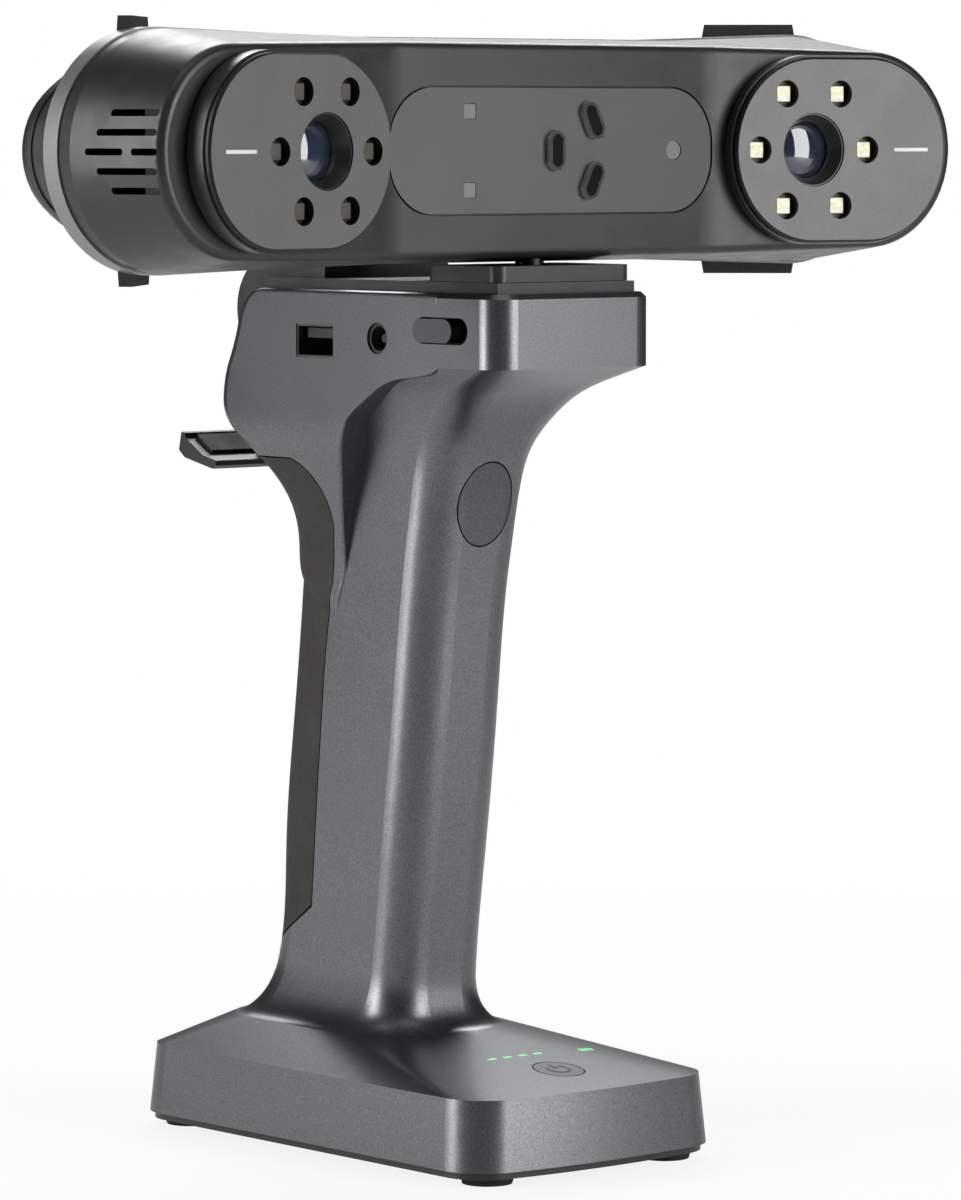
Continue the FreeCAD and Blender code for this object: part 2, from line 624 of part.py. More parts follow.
# front shell: round lobes, two slanting wings, vents in both ends
form = new_body("front_shell_form")
outline = dogbone(new_sketch(form, "front_outline", "XZ_Plane", "-frame_front"), "shell_step")
pad(form, outline, "frame_front + 12")
front_air = profile_block("front_air", "flat_setback", -40)
capsule = new_body("front_capsule")
capsule_outline = stadium(new_sketch(capsule, "capsule_outline", "XZ_Plane", "-frame_front"), 1,
                          "frame_lobe_radius - shell_step", "2 * lobe_offset")
bind(pad(capsule, capsule_outline, "frame_front + 12"), {"TaperAngle": "-shell_draft"})
move(capsule, "-lobe_offset")
tapered_form = common("tapered_form", form, capsule)
front_body = rounded("front_body", cut("front_blank", tapered_form, front_air), size["edge_rounding"],
                     on_front_outline)
vents = []
for row in (-2, -1, 0, 1, 2):
    level = f"{row} * vent_pitch"
    start, end = f"vent_front + {abs(row)} * 0.35", f"vent_rear - {abs(row)} * vent_step"
    spans = [(start, end)] if row else [(start, "vent_bridge_setback - vent_bridge / 2"),
                                        ("vent_bridge_setback + vent_bridge / 2", end)]
    for number, (near, far) in enumerate(spans):
        vents.append(slot_bar(f"vent_{row + 2}_{number}", f"(({far}) - ({near})) / 2", "vent_height / 2", "24",
                              "lobe_offset + 18", f"(({far}) + ({near})) / 2", level))
vents_right = fuse("vents_right", *vents)
vents_left = mirrored("vents_left", vents_right)
neck_radius = "plate_radius + housing_margin - neck_inset"
neck_holes = [aim(stadium_block(f"neck_hole_{name}", side, neck_radius + " + side_clearance", "0", "20"), side)
              for name, side in SIDES]


def panel_block(name, margin, front, rear):
    body = new_body(name)
    sketch = new_sketch(body, name + "_outline", "XZ_Plane", f"-({front})")
    rounded_rectangle(sketch, f"panel_half_width + {margin}", f"panel_half_height + {margin}",
                      f"panel_corner + {margin}",
                      (size["panel_half_width"], size["panel_half_height"], size["panel_corner"]))
    pad(body, sketch, f"({rear}) - ({front})", reverse=True)
    return body


def laser_prism(name, shrink, front, rear):
    """Three eight-sided bars: one upright, two leaning in above and below."""
    bars = []
    for place in (0, -1, 1):
        bar = new_body(f"{name}_{place + 1}")
        sketch = new_sketch(bar, f"{name}_{place + 1}_outline", "XZ_Plane", f"-({front})")
        octagon(sketch, f"laser_width / 2 - ({shrink})", f"laser_height / 2 - ({shrink})",
                f"laser_corner - ({shrink}) * 0.8")
        pad(bar, sketch, f"({rear}) - ({front})", reverse=True)
        if place:
            turn(bar, (0, -place, 0), "laser_tilt")
            move(bar, "laser_side_step", "0", f"{place} * laser_rise")
        bars.append(bar)
    return group(name, *bars)


def octagon(sketch, half_width, half_height, corner):
    """A rectangle with its four corners cut off at 45 degrees."""
    wide, high = size["laser_width"] / 2, size["laser_height"] / 2
    nip = size["laser_corner"]
    points = [(wide, high - nip), (wide - nip, high), (nip - wide, high), (-wide, high - nip),
              (-wide, nip - high), (nip - wide, -high), (wide - nip, -high), (wide, nip - high)]
    edges = [line(sketch, *points[n], *points[(n + 1) % 8]) for n in range(8)]
    join(sketch, "Coincident", *[(edges[n], 2, edges[(n + 1) % 8], 1) for n in range(8)])
    sketch.addConstraint(Sketcher.Constraint("Symmetric", edges[1], 1, edges[1], 2, -2))
    sketch.addConstraint(Sketcher.Constraint("Symmetric", edges[5], 1, edges[5], 2, -2))
    sketch.addConstraint(Sketcher.Constraint("Symmetric", edges[7], 1, edges[7], 2, -1))
    sketch.addConstraint(Sketcher.Constraint("Symmetric", edges[3], 1, edges[3], 2, -1))
    sketch.addConstraint(Sketcher.Constraint("Symmetric", edges[1], 1, edges[5], 2, -1))
    sketch.addConstraint(Sketcher.Constraint("Symmetric", edges[7], 2, edges[3], 1, -2))
    dimension(sketch, half_width, "DistanceX", -1, 1, edges[7], 2)
    dimension(sketch, half_height, "DistanceY", -1, 1, edges[1], 1)
    dimension(sketch, f"({half_width}) - ({corner})", "DistanceX", -1, 1, edges[1], 1)
    dimension(sketch, f"({half_height}) - ({corner})", "DistanceY", -1, 1, edges[7], 2)


panel_recess = panel_block("panel_recess", "panel_gap", "0", "flat_setback + panel_thickness")
laser_wells = laser_prism("laser_wells", "-0.1", "0", "flat_setback + 12")
camera_well = cylinder("camera_well", "dot_radius + 0.1", "20", "dot_offset", "0", "0", "y")
pattern_wells = [box(f"pattern_well_{place + 1}", "square_side + 0.2", "20", "square_side + 0.2",
                     "-square_offset - square_side / 2 - 0.1", "0",
                     f"{place} * square_rise - square_side / 2 - 0.1") for place in (-1, 1)]
wells = fuse("wells", laser_wells, camera_well, *pattern_wells)
bushing_hole = cylinder("bushing_hole", "5", "12", "0", "tripod_setback", "-30")
front_hollow = dogbone_block("front_hollow", "shell_floor", "flat_setback + casing_wall", "frame_front + 1")
front_shell = seat(cut("front_shell", front_body, front_hollow, *neck_holes, vents_right, vents_left, panel_recess, wells,
                       bushing_hole))

# mid frame: a metal band with a lip that locates both shells
frame_band = dogbone_block("frame_band", "0", "frame_front", "frame_front + frame_depth")
frame_lip = dogbone_block("frame_lip", "shell_floor + 0.05", "frame_front - 3", "frame_front + 1")
frame_air = dogbone_block("frame_air", "shell_floor + 1.6", "frame_front - 4", "frame_front + frame_depth + 4")
mid_frame = seat(cut("mid_frame", fuse("frame_solid", frame_band, frame_lip), frame_air, bumper_seats))

# rear cover: rounded rim, crescent vents at the ends, openings for the button, the light and the socket
REAR = "frame_front + frame_depth + cover_depth"
rear_face = size["frame_front"] + size["frame_depth"] + size["cover_depth"]
cover_form = oval_block("cover_form", "0", "frame_front + frame_depth", REAR)
cover_round = rounded("cover_round", cover_form, size["cover_rounding"],
                      lambda edge: edge.BoundBox.YMin > size["frame_front"] + size["frame_depth"] + 1)
cover_air = oval_block("cover_air", "casing_wall", "frame_front", f"{REAR} - casing_wall")
grille_zone = fuse("grille_zone",
                   box("grille_right", "40", "grille_depth", "grille_height", "lobe_offset + 8",
                       "frame_front + frame_depth", "-grille_height / 2"),
                   box("grille_left", "40", "grille_depth", "grille_height", "-lobe_offset - 48",
                       "frame_front + frame_depth", "-grille_height / 2"))
grille_core = oval_block("grille_core", "1.1", "frame_front", REAR)
grille_seat = cut("grille_seat", grille_zone, grille_core)
button_hole = cylinder("button_hole", "rear_button_radius + button_gap", "10", "0", f"{REAR} - 5",
                       "rear_button_level", "y")
light_hole = cylinder("light_hole", "1.25", "10", "0", f"{REAR} - 5", "rear_button_level + 9.5", "y")
socket_hole = slot_bar("socket_hole", "usb_c_width / 2", "usb_c_height / 2", "10", "0", "0", "0")
socket_hole.Placement = Placement(Vector(0, 0, 0), Rotation(Vector(0, 0, 1), 90))
move(socket_hole, "0", f"{REAR} - 5", "-rear_button_level")
screw_places = [(side, face) for side in (-1, 1) for face in (-1, 1)]


def rear_bars(name, radius, front, rear, bore="0"):
    """One bar for each rear screw, along Y."""
    bars = [cylinder(f"{name}_{number}", radius, f"({rear}) - ({front})", f"{side} * rear_screw_across", front,
                     f"{face} * rear_screw_up", "y") for number, (side, face) in enumerate(screw_places)]
    return fuse(name, *bars)


head_wells = rear_bars("head_wells", "rear_screw_head + 0.1", f"{REAR} - 1.9", f"{REAR} + 1")
shank_holes = rear_bars("shank_holes", "rear_screw_radius", "frame_front", f"{REAR} + 1")
cover_posts = rear_bars("cover_posts", "rear_screw_head + 1.4", "frame_front + frame_depth + 0.2", f"{REAR} - 2")
rear_cover = seat(cut("rear_cover", fuse("cover_solid", cut("cover_shell", cover_round, cover_air), cover_posts),
                      grille_seat, bumper_seats, button_hole, light_hole, socket_hole, head_wells, shank_holes))
grille_skin = oval_block("grille_skin", "0.35", "frame_front", REAR)
end_grilles = seat(common("end_grilles", grille_seat, grille_skin))
rear_screws = seat(cut("rear_screws", fuse("rear_screw_solids",
                       rear_bars("rear_heads", "rear_screw_head", f"{REAR} - 1.9", f"{REAR} - 0.3"),
                       rear_bars("rear_shanks", "rear_screw_radius - 0.05", f"{REAR} - 12", f"{REAR} - 1.9")),
                       *[box(f"rear_slot_{number}", "1.8", "2", "0.6", f"{side} * rear_screw_across - 0.9",
                             f"{REAR} - 1", f"{face} * rear_screw_up - 0.3")
                         for number, (side, face) in enumerate(screw_places)]))
rear_button = seat(rounded("rear_button", fuse("rear_button_solid",
                           cylinder("rear_button_cap", "rear_button_radius", "5", "0", f"{REAR} - 4.3",
                                    "rear_button_level", "y"),
                           cylinder("rear_button_stem", "2.2", "3", "0", f"{REAR} - 7.2", "rear_button_level", "y")),
                           0.5, lambda edge: edge.BoundBox.YMin > rear_face + 0.5 and edge.Length > 20))
rear_light = seat(group("rear_light", cylinder("rear_light_pipe", "1.2", "3", "0", f"{REAR} - 3.2",
                                               "rear_button_level + 9.5", "y")))
usb_c_shell = slot_bar("usb_c_shell", "usb_c_width / 2 - 0.1", "usb_c_height / 2 - 0.1", "7.5", "0", "0", "0")
usb_c_air = slot_bar("usb_c_air", "usb_c_width / 2 - 0.45", "usb_c_height / 2 - 0.45", "7.5", "-1", "0", "0")
usb_c_tongue = box("usb_c_tongue", "5.7", "6.4", "0.7", "1", "-3.2", "-0.35")
usb_c_socket = fuse("usb_c_socket", cut("usb_c_body", usb_c_shell, usb_c_air), usb_c_tongue)
usb_c_socket.Placement = Placement(Vector(), Rotation(Vector(0, 0, 1), 90))
move(usb_c_socket, "0", f"-lens_axis_ahead + {REAR} - 7.8", "lens_axis_height - rear_button_level")

# ---------------------------------------------------------------------------
# Camera modules: housing, plate, lights, lens, sensor
# ---------------------------------------------------------------------------
behind_wings = profile_block("behind_wings", "flat_setback - housing_gap", 60)
module = {}
for name, side in SIDES:
    rim = aim(stadium_block(f"{name}_rim", side, "plate_radius + housing_margin", "plate_thickness", "12"), side)
    neck = aim(stadium_block(f"{name}_neck", side, neck_radius, "2.5", "16"), side)
    hollow = aim(stadium_block(f"{name}_hollow", side, neck_radius + " - 1.2", "0", "14.4"), side)
    floor_hole = aim(round_block(f"{name}_floor_hole", "9.1", "10", "20"), side)
    solid = fuse(f"{name}_housing_solid", cut(f"{name}_rim_cut", rim, behind_wings), neck)
    module[name, "camera_housing"] = seat(cut(f"{name}_camera_housing", solid, hollow, floor_hole))

    plate = new_body(f"{name}_lens_plate")
    face = stadium(new_sketch(plate, f"{name}_plate_outline", "XZ_Plane"), side, "plate_radius")
    pad(plate, face, "plate_thickness", reverse=True)
    doc.recompute()
    tip = plate.Tip
    edges = [f"Edge{number}" for number, edge in enumerate(tip.Shape.Edges, start=1) if edge.BoundBox.YMax < 0.01]
    bevel = plate.newObject("PartDesign::Chamfer", f"{name}_plate_bevel")
    bevel.Base = (tip, edges)
    bind(bevel, {"Size": "plate_chamfer"})
    doc.recompute()
    opening = ring(new_sketch(plate, f"{name}_camera_opening", "XZ_Plane"), "camera_hole_radius")
    pocket(plate, opening, "plate_thickness * 2 + 1").Midplane = True
    first = ring(new_sketch(plate, f"{name}_light_opening", "XZ_Plane"), "light_hole_radius", "light_circle_radius")
    light_pocket = pocket(plate, first, "plate_thickness * 2 + 1")
    light_pocket.Midplane = True
    doc.recompute()
    around = plate.newObject("PartDesign::PolarPattern", f"{name}_light_openings")
    around.Originals = [light_pocket]
    around.Axis = (first, ["N_Axis"])
    around.Angle = 360
    around.Occurrences = 6
    plate.Tip = around
    module[name, "lens_plate"] = seat_module(plate, side)

    board = cut(f"{name}_light_board", stadium_block(f"{name}_board_blank", side, neck_radius + " - 1.4",
                                                     "light_setback + 0.8", "light_setback + 0.8 + board_thickness"),
                cylinder(f"{name}_board_hole", "9.3", "8", "0", "0", "0", "y"))
    module[name, "light_board"] = seat_module(board, side)
    chips = []
    for place in range(6):
        turned = place * 60
        chip = box(f"{name}_chip_{place}", "light_side", "0.8", "light_side",
                   f"light_circle_radius * cos({turned}) - light_side / 2", "light_setback",
                   f"light_circle_radius * sin({turned}) - light_side / 2")
        chips.append(chip)
    module[name, "lights"] = seat_module(group(f"{name}_lights", *chips), side)

    barrel = cut(f"{name}_lens_barrel",
                 fuse(f"{name}_barrel_solid",
                      cylinder(f"{name}_barrel_rim", "camera_hole_radius - 0.1", "4", "0", "0.35", "0", "y"),
                      cylinder(f"{name}_barrel_tube", "9", "barrel_length", "0", "plate_thickness", "0", "y")),
                 cone(f"{name}_barrel_cone", "camera_hole_radius - 0.4", "lens_radius + 0.05",
                      "lens_setback - 0.35", "0", "0.35", "0"),
                 cylinder(f"{name}_barrel_bore", "lens_radius + 0.05", "7", "0", "lens_setback - 0.01", "0", "y"),
                 cylinder(f"{name}_barrel_rear", "5", "20", "0", "lens_setback", "0", "y"))
    module[name, "lens_barrel"] = seat_module(barrel, side)
    ball = doc.addObject("Part::Sphere", f"{name}_lens_ball")
    bind(ball, {"Radius": "(lens_radius ^ 2 + lens_bulge ^ 2) / (2 * lens_bulge)",
                "Placement.Base.y": "lens_setback + (lens_radius ^ 2 + lens_bulge ^ 2) / (2 * lens_bulge)"})
    glass = common(f"{name}_lens", ball, cylinder(f"{name}_lens_blank", "lens_radius", "lens_bulge + 2", "0",
                                                  "lens_setback", "0", "y"))
    module[name, "lens"] = seat_module(glass, side)
    sensor = fuse(f"{name}_sensor_board",
                  box(f"{name}_sensor_plate", "22", "board_thickness", "22", "-11", "plate_thickness + barrel_length",
                      "-11"),
                  box(f"{name}_sensor_can", "9", "3", "9", "-4.5",
                      "plate_thickness + barrel_length + board_thickness", "-4.5"))
    module[name, "sensor_board"] = seat_module(sensor, side)

# ---------------------------------------------------------------------------
# Middle of the front, and what sits behind it
# ---------------------------------------------------------------------------
panel_form = panel_block("panel_form", "0", "flat_setback", "flat_setback + panel_thickness")
centre_panel = seat(cut("centre_panel", panel_form, wells))
laser_bars = laser_prism("laser_bars", "0", "flat_setback - laser_proud", "flat_setback + 12")
laser_slots = laser_prism("laser_slots", "0.75", "flat_setback - laser_proud - 1", "flat_setback - laser_proud + 0.7")
laser_emitters = seat(cut("laser_emitters", laser_bars, laser_slots))
laser_windows = seat(laser_prism("laser_windows", "0.8", "flat_setback - laser_proud + 0.1",
                                 "flat_setback - laser_proud + 0.7"))
texture_camera = seat(group("texture_camera", cylinder("texture_tube", "dot_radius", "9", "dot_offset",
                                                       "flat_setback + 0.2", "0", "y")))
pattern_windows = seat(group("pattern_windows",
                             *[box(f"pattern_window_{place + 1}", "square_side", "2.2", "square_side",
                                   "-square_offset - square_side / 2", "flat_setback + 0.1",
                                   f"{place} * square_rise - square_side / 2") for place in (-1, 1)]))
optical_frame = seat(cut("optical_frame",
                         slab("frame_plate", "84", "24", "27", "-19", "19"),
                         *[cylinder(f"frame_window_{number}", "7", "10", across, "20", "0", "y")
                           for number, across in enumerate(("-32", "32"))],
                         cylinder("frame_screw_hole", "tripod_radius + 0.4", "30", "0", "16.5", "-30")))
main_board = seat(group("main_board", slab("main_board_plate", "70", "31", "32.6", "-18", "18")))
fins = [slab(f"fin_{number}", "30", "36", "40", f"{number} * 5 - 13", f"{number} * 5 - 11.6") for number in range(6)]
heat_sink = seat(fuse("heat_sink", slab("sink_plate", "30", "34", "36", "-15", "15"), *fins))

# ---------------------------------------------------------------------------
# Mount between the scanner and the handle
# ---------------------------------------------------------------------------
PLATE_TOP = "-frame_waist_half - mount_gap"
quick_plate = slab("quick_plate", "19.4", "4.5", "29", f"{PLATE_TOP} - 3.5", PLATE_TOP)
quick_release_plate = seat(cut("quick_release_plate",
                               rounded("quick_rounded", quick_plate, 2.5,
                                       lambda edge: edge.BoundBox.ZLength > 3 and edge.BoundBox.XLength < 0.1
                                       and edge.BoundBox.YLength < 0.1),
                               cylinder("quick_hole", "tripod_radius + 0.1", "20", "0", "tripod_setback", "-40"),
                               cylinder("quick_sink", "5.6", "2", "0", "tripod_setback", f"{PLATE_TOP} - 3.6")))
tripod_screw = seat(fuse("tripod_screw",
                         cylinder("tripod_head", "5.5", "1.6", "0", "tripod_setback", f"{PLATE_TOP} - 3.4"),
                         cylinder("tripod_shank", "tripod_radius", "11", "0", "tripod_setback",
                                  f"{PLATE_TOP} - 3.4")))
bushing_form = fuse("bushing_form",
                    cylinder("bushing_flange", "5.5", "2", "0", "tripod_setback",
                             "-frame_waist_half + shell_floor"),
                    cylinder("bushing_neck", "5", "shell_floor - 1.9", "0", "tripod_setback",
                             "-frame_waist_half + 1.9"))
tripod_bushing = seat(cut("tripod_bushing", bushing_form,
                          cylinder("bushing_bore", "tripod_radius + running_clearance", "20", "0", "tripod_setback",
                                   "-frame_waist_half - 5")))

# bracket on top of the handle: a plate, a rear block and the two ears of the phone holder's hinge
BRACKET_TOP = f"{PLATE_TOP} - 3.6"
BRACKET_FLOOR = "head_top - lens_axis_height"
bracket_plate = slab("bracket_plate", "19.7", "4", "lens_axis_ahead + hub_behind", BRACKET_FLOOR, BRACKET_TOP)
bracket_block = slab("bracket_block", "18", "66", "lens_axis_ahead + hub_behind", BRACKET_FLOOR,
                     f"{BRACKET_TOP} + 6")
ear_level = "hub_level - lens_axis_height"
ear_place = "lens_axis_ahead + hub_behind"
ears = cylinder("ears", "hub_radius", "2 * ear_outer", "-ear_outer", ear_place, ear_level, "x")
ear_channel = slab("ear_channel", "arm_half_width + side_clearance", "lens_axis_ahead + hub_behind - 16", "110",
                   "-60", "-10")
pin_hole = cylinder("pin_hole", "pin_radius", "40", "-20", ear_place, ear_level, "x")
bracket_screw_places = [(across, back) for across in (-10, 10) for back in (12, 44)]
bracket_bores = fuse("bracket_bores",
                     *[cylinder(f"bracket_bore_{number}", "1.6", "10", f"{across}", f"{back}",
                                f"{BRACKET_FLOOR} - 1") for number, (across, back) in enumerate(bracket_screw_places)],
                     *[cylinder(f"bracket_sink_{number}", "2.9", "10", f"{across}", f"{back}",
                                f"{BRACKET_TOP} - 1.5") for number, (across, back) in enumerate(bracket_screw_places)])
mount_bracket = seat(cut("mount_bracket",
                         fuse("bracket_solid", bracket_plate, bracket_block, ears),
                         ear_channel, pin_hole, bracket_bores))
bracket_screws = seat(fuse("bracket_screws",
                           *[cylinder(f"bracket_shank_{number}", "1.55", "7", f"{across}", f"{back}",
                                      f"{BRACKET_TOP} - 8.3")
                             for number, (across, back) in enumerate(bracket_screw_places)],
                           *[cylinder(f"bracket_head_{number}", "2.8", "1.3", f"{across}", f"{back}",
                                      f"{BRACKET_TOP} - 1.4")
                             for number, (across, back) in enumerate(bracket_screw_places)]))


# ---------------------------------------------------------------------------
# Handle: a free-form moulding of level outlines
# ---------------------------------------------------------------------------
def level_outline(level, half_width, front, rear, front_radius, rear_radius, inset=0):
    """A level rectangle with rounded corners, drawn counter-clockwise from its front."""
    wide, front, rear = half_width - inset, front + inset, rear - inset
    front_radius, rear_radius = max(front_radius - inset, 0.3), max(rear_radius - inset, 0.3)
    corners = ((wide, front, -1, 1, front_radius), (wide, rear, -1, -1, rear_radius),
               (-wide, rear, 1, -1, rear_radius), (-wide, front, 1, 1, front_radius))
    edges = []
    for number, (x, y, inward_x, inward_y, radius) in enumerate(corners):
        centre = Vector(x + inward_x * radius, y + inward_y * radius, level)
        before = Vector(centre.x, y, level) if number % 2 == 0 else Vector(x, centre.y, level)
        after = Vector(x, centre.y, level) if number % 2 == 0 else Vector(centre.x, y, level)
        middle = centre - Vector(inward_x, inward_y, 0) * (radius / math.sqrt(2))
        if edges:
            edges.append(Part.makeLine(last, before))
        else:
            first = before
        edges.append(Part.Arc(before, middle, after).toShape())
        last = after
    edges.append(Part.makeLine(last, first))
    return Part.Wire(edges)


def blend(table, position):
    """Read a value between the rows of a table of (position, value)."""
    for (low, first), (high, second) in zip(table, table[1:]):
        if position <= high:
            return first + (second - first) * (position - low) / (high - low)
    return table[-1][1]


# how fast the grip widens into the head: share of the height, share of the widening
TOP_FLARE = ((0, 0), (0.12, 0.01), (0.24, 0.02), (0.35, 0.032), (0.46, 0.052), (0.56, 0.088), (0.64, 0.146),
             (0.73, 0.25), (0.81, 0.37), (0.87, 0.498), (0.92, 0.66), (0.965, 0.85), (1, 1))
FOOT_FLARE = ((0, 1), (0.07, 0.66), (0.2, 0.41), (0.38, 0.21), (0.6, 0.08), (0.8, 0.02), (1, 0))


def grip_front(level):
    return -size["grip_front"] - (level - size["grip_reference"]) * math.tan(math.radians(size["front_rake"]))


def grip_rear(level):
    return size["grip_rear"] - (level - size["grip_reference"]) * math.tan(math.radians(size["rear_rake"]))


def grip_outline(level, top_share, foot_share, inset=0):
    foot = size["foot_flare"] * foot_share
    lean = size["head_front"] + grip_front(size["head_underside"])
    wide = size["grip_half_width"] + (size["head_half_width"] - size["grip_half_width"]) * top_share + foot
    corner = size["grip_corner"] + (size["head_corner"] - size["grip_corner"]) * top_share + foot
    rear = grip_rear(level) + size["foot_flare_rear"] * foot_share ** 0.7
    return level_outline(level, wide, grip_front(level) - lean * top_share - foot, rear,
                         corner, size["grip_corner"] + foot, inset)


def grip_solid(inset=0):
    """The grip, from its spread foot to where it meets the head."""
    low, rise = size["slope_top"], size["foot_rise"]
    start, top = size["flare_start"], size["head_underside"]
    outlines = [grip_outline(low + rise * share, 0, spread, inset) for share, spread in FOOT_FLARE]
    outlines += [grip_outline(low + rise + (start - low - rise) * share, 0, 0, inset) for share in (0.3, 0.65)]
    outlines += [grip_outline(start + (top - start) * share, spread, 0, inset) for share, spread in TOP_FLARE]
    return Part.makeLoft(outlines, True, False)


# rear of the head and the cheeks that run from it down the back of the grip:
# level, share of the widening, front, rear, rear corner
CHEEKS = ((192.8, 0.88, -33, 32.8, 4), (191.7, 1, -33, 35.4, 4), (190.1, 1, -33, 37.6, 4),
          (187.4, 1, -33, 39.5, 4), (181.9, 1, -33, 41.3, 4), (176.5, 1, -33, 43.6, 4),
          (173.5, 1, -19, 44.9, 4), (170.8, 1, -11.4, 45.6, 4), (167.5, 1, -5.8, 46, 4),
          (163.8, 1, -0.8, 45.5, 4.5), (160.2, 0.967, 1.2, 43, 5), (156.8, 0.902, 2.4, 39, 6),
          (151.8, 0.732, 4, 34, 7), (146.2, 0.536, 6, 30.8, 8), (135.8, 0.222, 8.8, 30.6, 9),
          (127, 0.04, 11, 31.4, 9), (119, -0.065, 13, 31, 9))


def cheek_solid(inset=0):
    spread = size["head_half_width"] - size["grip_half_width"]
    return Part.makeLoft([level_outline(level, size["grip_half_width"] + spread * share, front, rear, 0.6, corner,
                                        inset) for level, share, front, rear, corner in CHEEKS], True, False)


def side_block(points, half_width):
    """A block across the middle plane, from its side view given as (Y, Z) points."""
    face = Part.Face(Part.makePolygon([Vector(-half_width, y, z) for y, z in points + points[:1]]))
    return face.extrude(Vector(2 * half_width, 0, 0))


def upright(edge):
    return edge.BoundBox.ZLength > 5 and edge.BoundBox.XLength < 3 and edge.BoundBox.YLength < 3


top, underside = size["head_top"], size["head_underside"]
head_block = side_block([(-size["head_front"], underside), (-size["head_front"], top), (24, top),
                         (24, underside)], size["head_half_width"])
front_corners = [edge for edge in head_block.Edges
                 if edge.BoundBox.YMax < 0 and edge.BoundBox.XLength < 1 and edge.BoundBox.ZLength > 10]
head_block = head_block.makeFillet(size["head_corner"], front_corners)
rim = [edge for edge in head_block.Edges if edge.BoundBox.ZMin > top - 0.01 and edge.BoundBox.YMin < 23]
head_block = head_block.makeChamfer(1.1, rim)


def bowed_outline(level, half_width, half_depth):
    """The base seen from above: straight sides, front and rear bulging a little."""
    flat = half_depth - size["base_bow"]
    corners = [Vector(x * half_width, y * flat, level) for x, y in ((-1, -1), (1, -1), (1, 1), (-1, 1))]
    return Part.Wire([Part.Arc(corners[0], Vector(0, -half_depth, level), corners[1]).toShape(),
                      Part.makeLine(corners[1], corners[2]),
                      Part.Arc(corners[2], Vector(0, half_depth, level), corners[3]).toShape(),
                      Part.makeLine(corners[3], corners[0])])


base_floor = size["foot_height"] + size["cover_plate_thickness"]
edge_level, slope_top = size["base_edge_height"], size["slope_top"]
base_block = Part.makeLoft([bowed_outline(base_floor, size["base_half_width"], size["base_half_depth"]),
                            bowed_outline(edge_level, size["base_half_width"] - size["base_draft"],
                                          size["base_half_depth"] - size["base_draft"])], True, True)
base_block = base_block.makeFillet(size["base_corner"], [edge for edge in base_block.Edges if upright(edge)])
top_face = max(base_block.Faces, key=lambda face: face.CenterOfMass.z)
slope = Part.makeLoft([top_face.OuterWire, grip_outline(slope_top, 0, 1)], True, True)
grip = grip_solid()
cheeks = cheek_solid()
handle_outer = base_block.fuse([slope, grip, cheeks, head_block])


def inner_solid(depth):
    """The grip and the cheeks, all round thinner by a depth."""
    return grip_solid(depth).fuse(cheek_solid(depth))


def pad_region(margin):
    """Side view of the rubber pad, carried across the handle."""
    m = margin
    corner, side, shoulder = Vector(0, 23.4 - m, 52.4 - m), Vector(0, 19 - m, 100), Vector(0, 11.2 - m, 139)
    crown = Vector(0, 21, 154.4 + m)
    sweep = Part.Arc(side, Vector(0, 16 - m, 122), shoulder).toShape()
    bow = Part.Arc(shoulder, Vector(0, 13.2 - m * 0.7, 148.6 + m * 0.7), crown).toShape()
    outline = Part.Wire([Part.makeLine(corner, side), sweep, bow,
                         Part.makeLine(crown, Vector(0, 60, 154.4 + m)),
                         Part.makeLine(Vector(0, 60, 154.4 + m), Vector(0, 60, 27.2 - m)),
                         Part.makeLine(Vector(0, 60, 27.2 - m), corner)])
    region = Part.Face(outline).extrude(Vector(80, 0, 0))
    region.translate(Vector(-40, 0, 0))
    return region


PAD_DEPTH = size["pad_thickness"]
under_pad = inner_solid(PAD_DEPTH)
pad_shape = grip.fuse(cheeks).common(pad_region(0)).cut(under_pad)
pad_seat = pad_region(size["button_gap"]).cut(under_pad)


def placed(shape, place, angle=0):
    """Turn a shape about the X axis, then move it."""
    copy = shape.copy()
    copy.Placement = Placement(Vector(*place), Rotation(Vector(1, 0, 0), angle)) * copy.Placement
    return copy


def centred_box(wide, deep, high, x=0, y=0, z=0):
    """A box round a point; z is the level of its floor."""
    return Part.makeBox(wide, deep, high, Vector(x - wide / 2, y - deep / 2, z))


def front_face(level):
    """The front of the grip in the middle plane."""
    share = blend(TOP_FLARE, (level - size["flare_start"]) / (size["head_underside"] - size["flare_start"]))
    lean = size["head_front"] + grip_front(size["head_underside"])
    return grip_front(level) - lean * share


# scan button: an oval in the front of the grip, pressed square to the surface
level = size["trigger_level"]
trigger_place = (0, front_face(level), level)
trigger_angle = math.degrees(math.atan2(front_face(level - 8) - front_face(level + 8), 16))


def oval_bar(wide, high, front, rear):
    """An oval across X and Z, carried back along Y."""
    major, minor = max(wide, high) / 2, min(wide, high) / 2
    curve = Part.Ellipse(Vector(0, 0, 0), major, minor).toShape()
    flat = Part.Face(Part.Wire([curve]))
    bar = flat.extrude(Vector(0, 0, rear - front))
    turned = Rotation(Vector(1, 0, 0), -90) * Rotation(Vector(0, 0, 1), 90 if high > wide else 0)
    bar.Placement = Placement(Vector(0, front, 0), turned)
    return bar


trigger_bar = oval_bar(size["trigger_width"], size["trigger_height"], -8, 5.5)
gap = size["button_gap"]
trigger_well = oval_bar(size["trigger_width"] + 2 * gap, size["trigger_height"] + 2 * gap, -8, 10)
trigger_shape = placed(trigger_bar, trigger_place, trigger_angle).common(handle_outer)
switch_reach = 5.5 + size["trigger_travel"] + 0.1
trigger_switch_shape = placed(centred_box(6, 10 - switch_reach, 6, 0, (10 + switch_reach) / 2, -3), trigger_place,
                              trigger_angle)

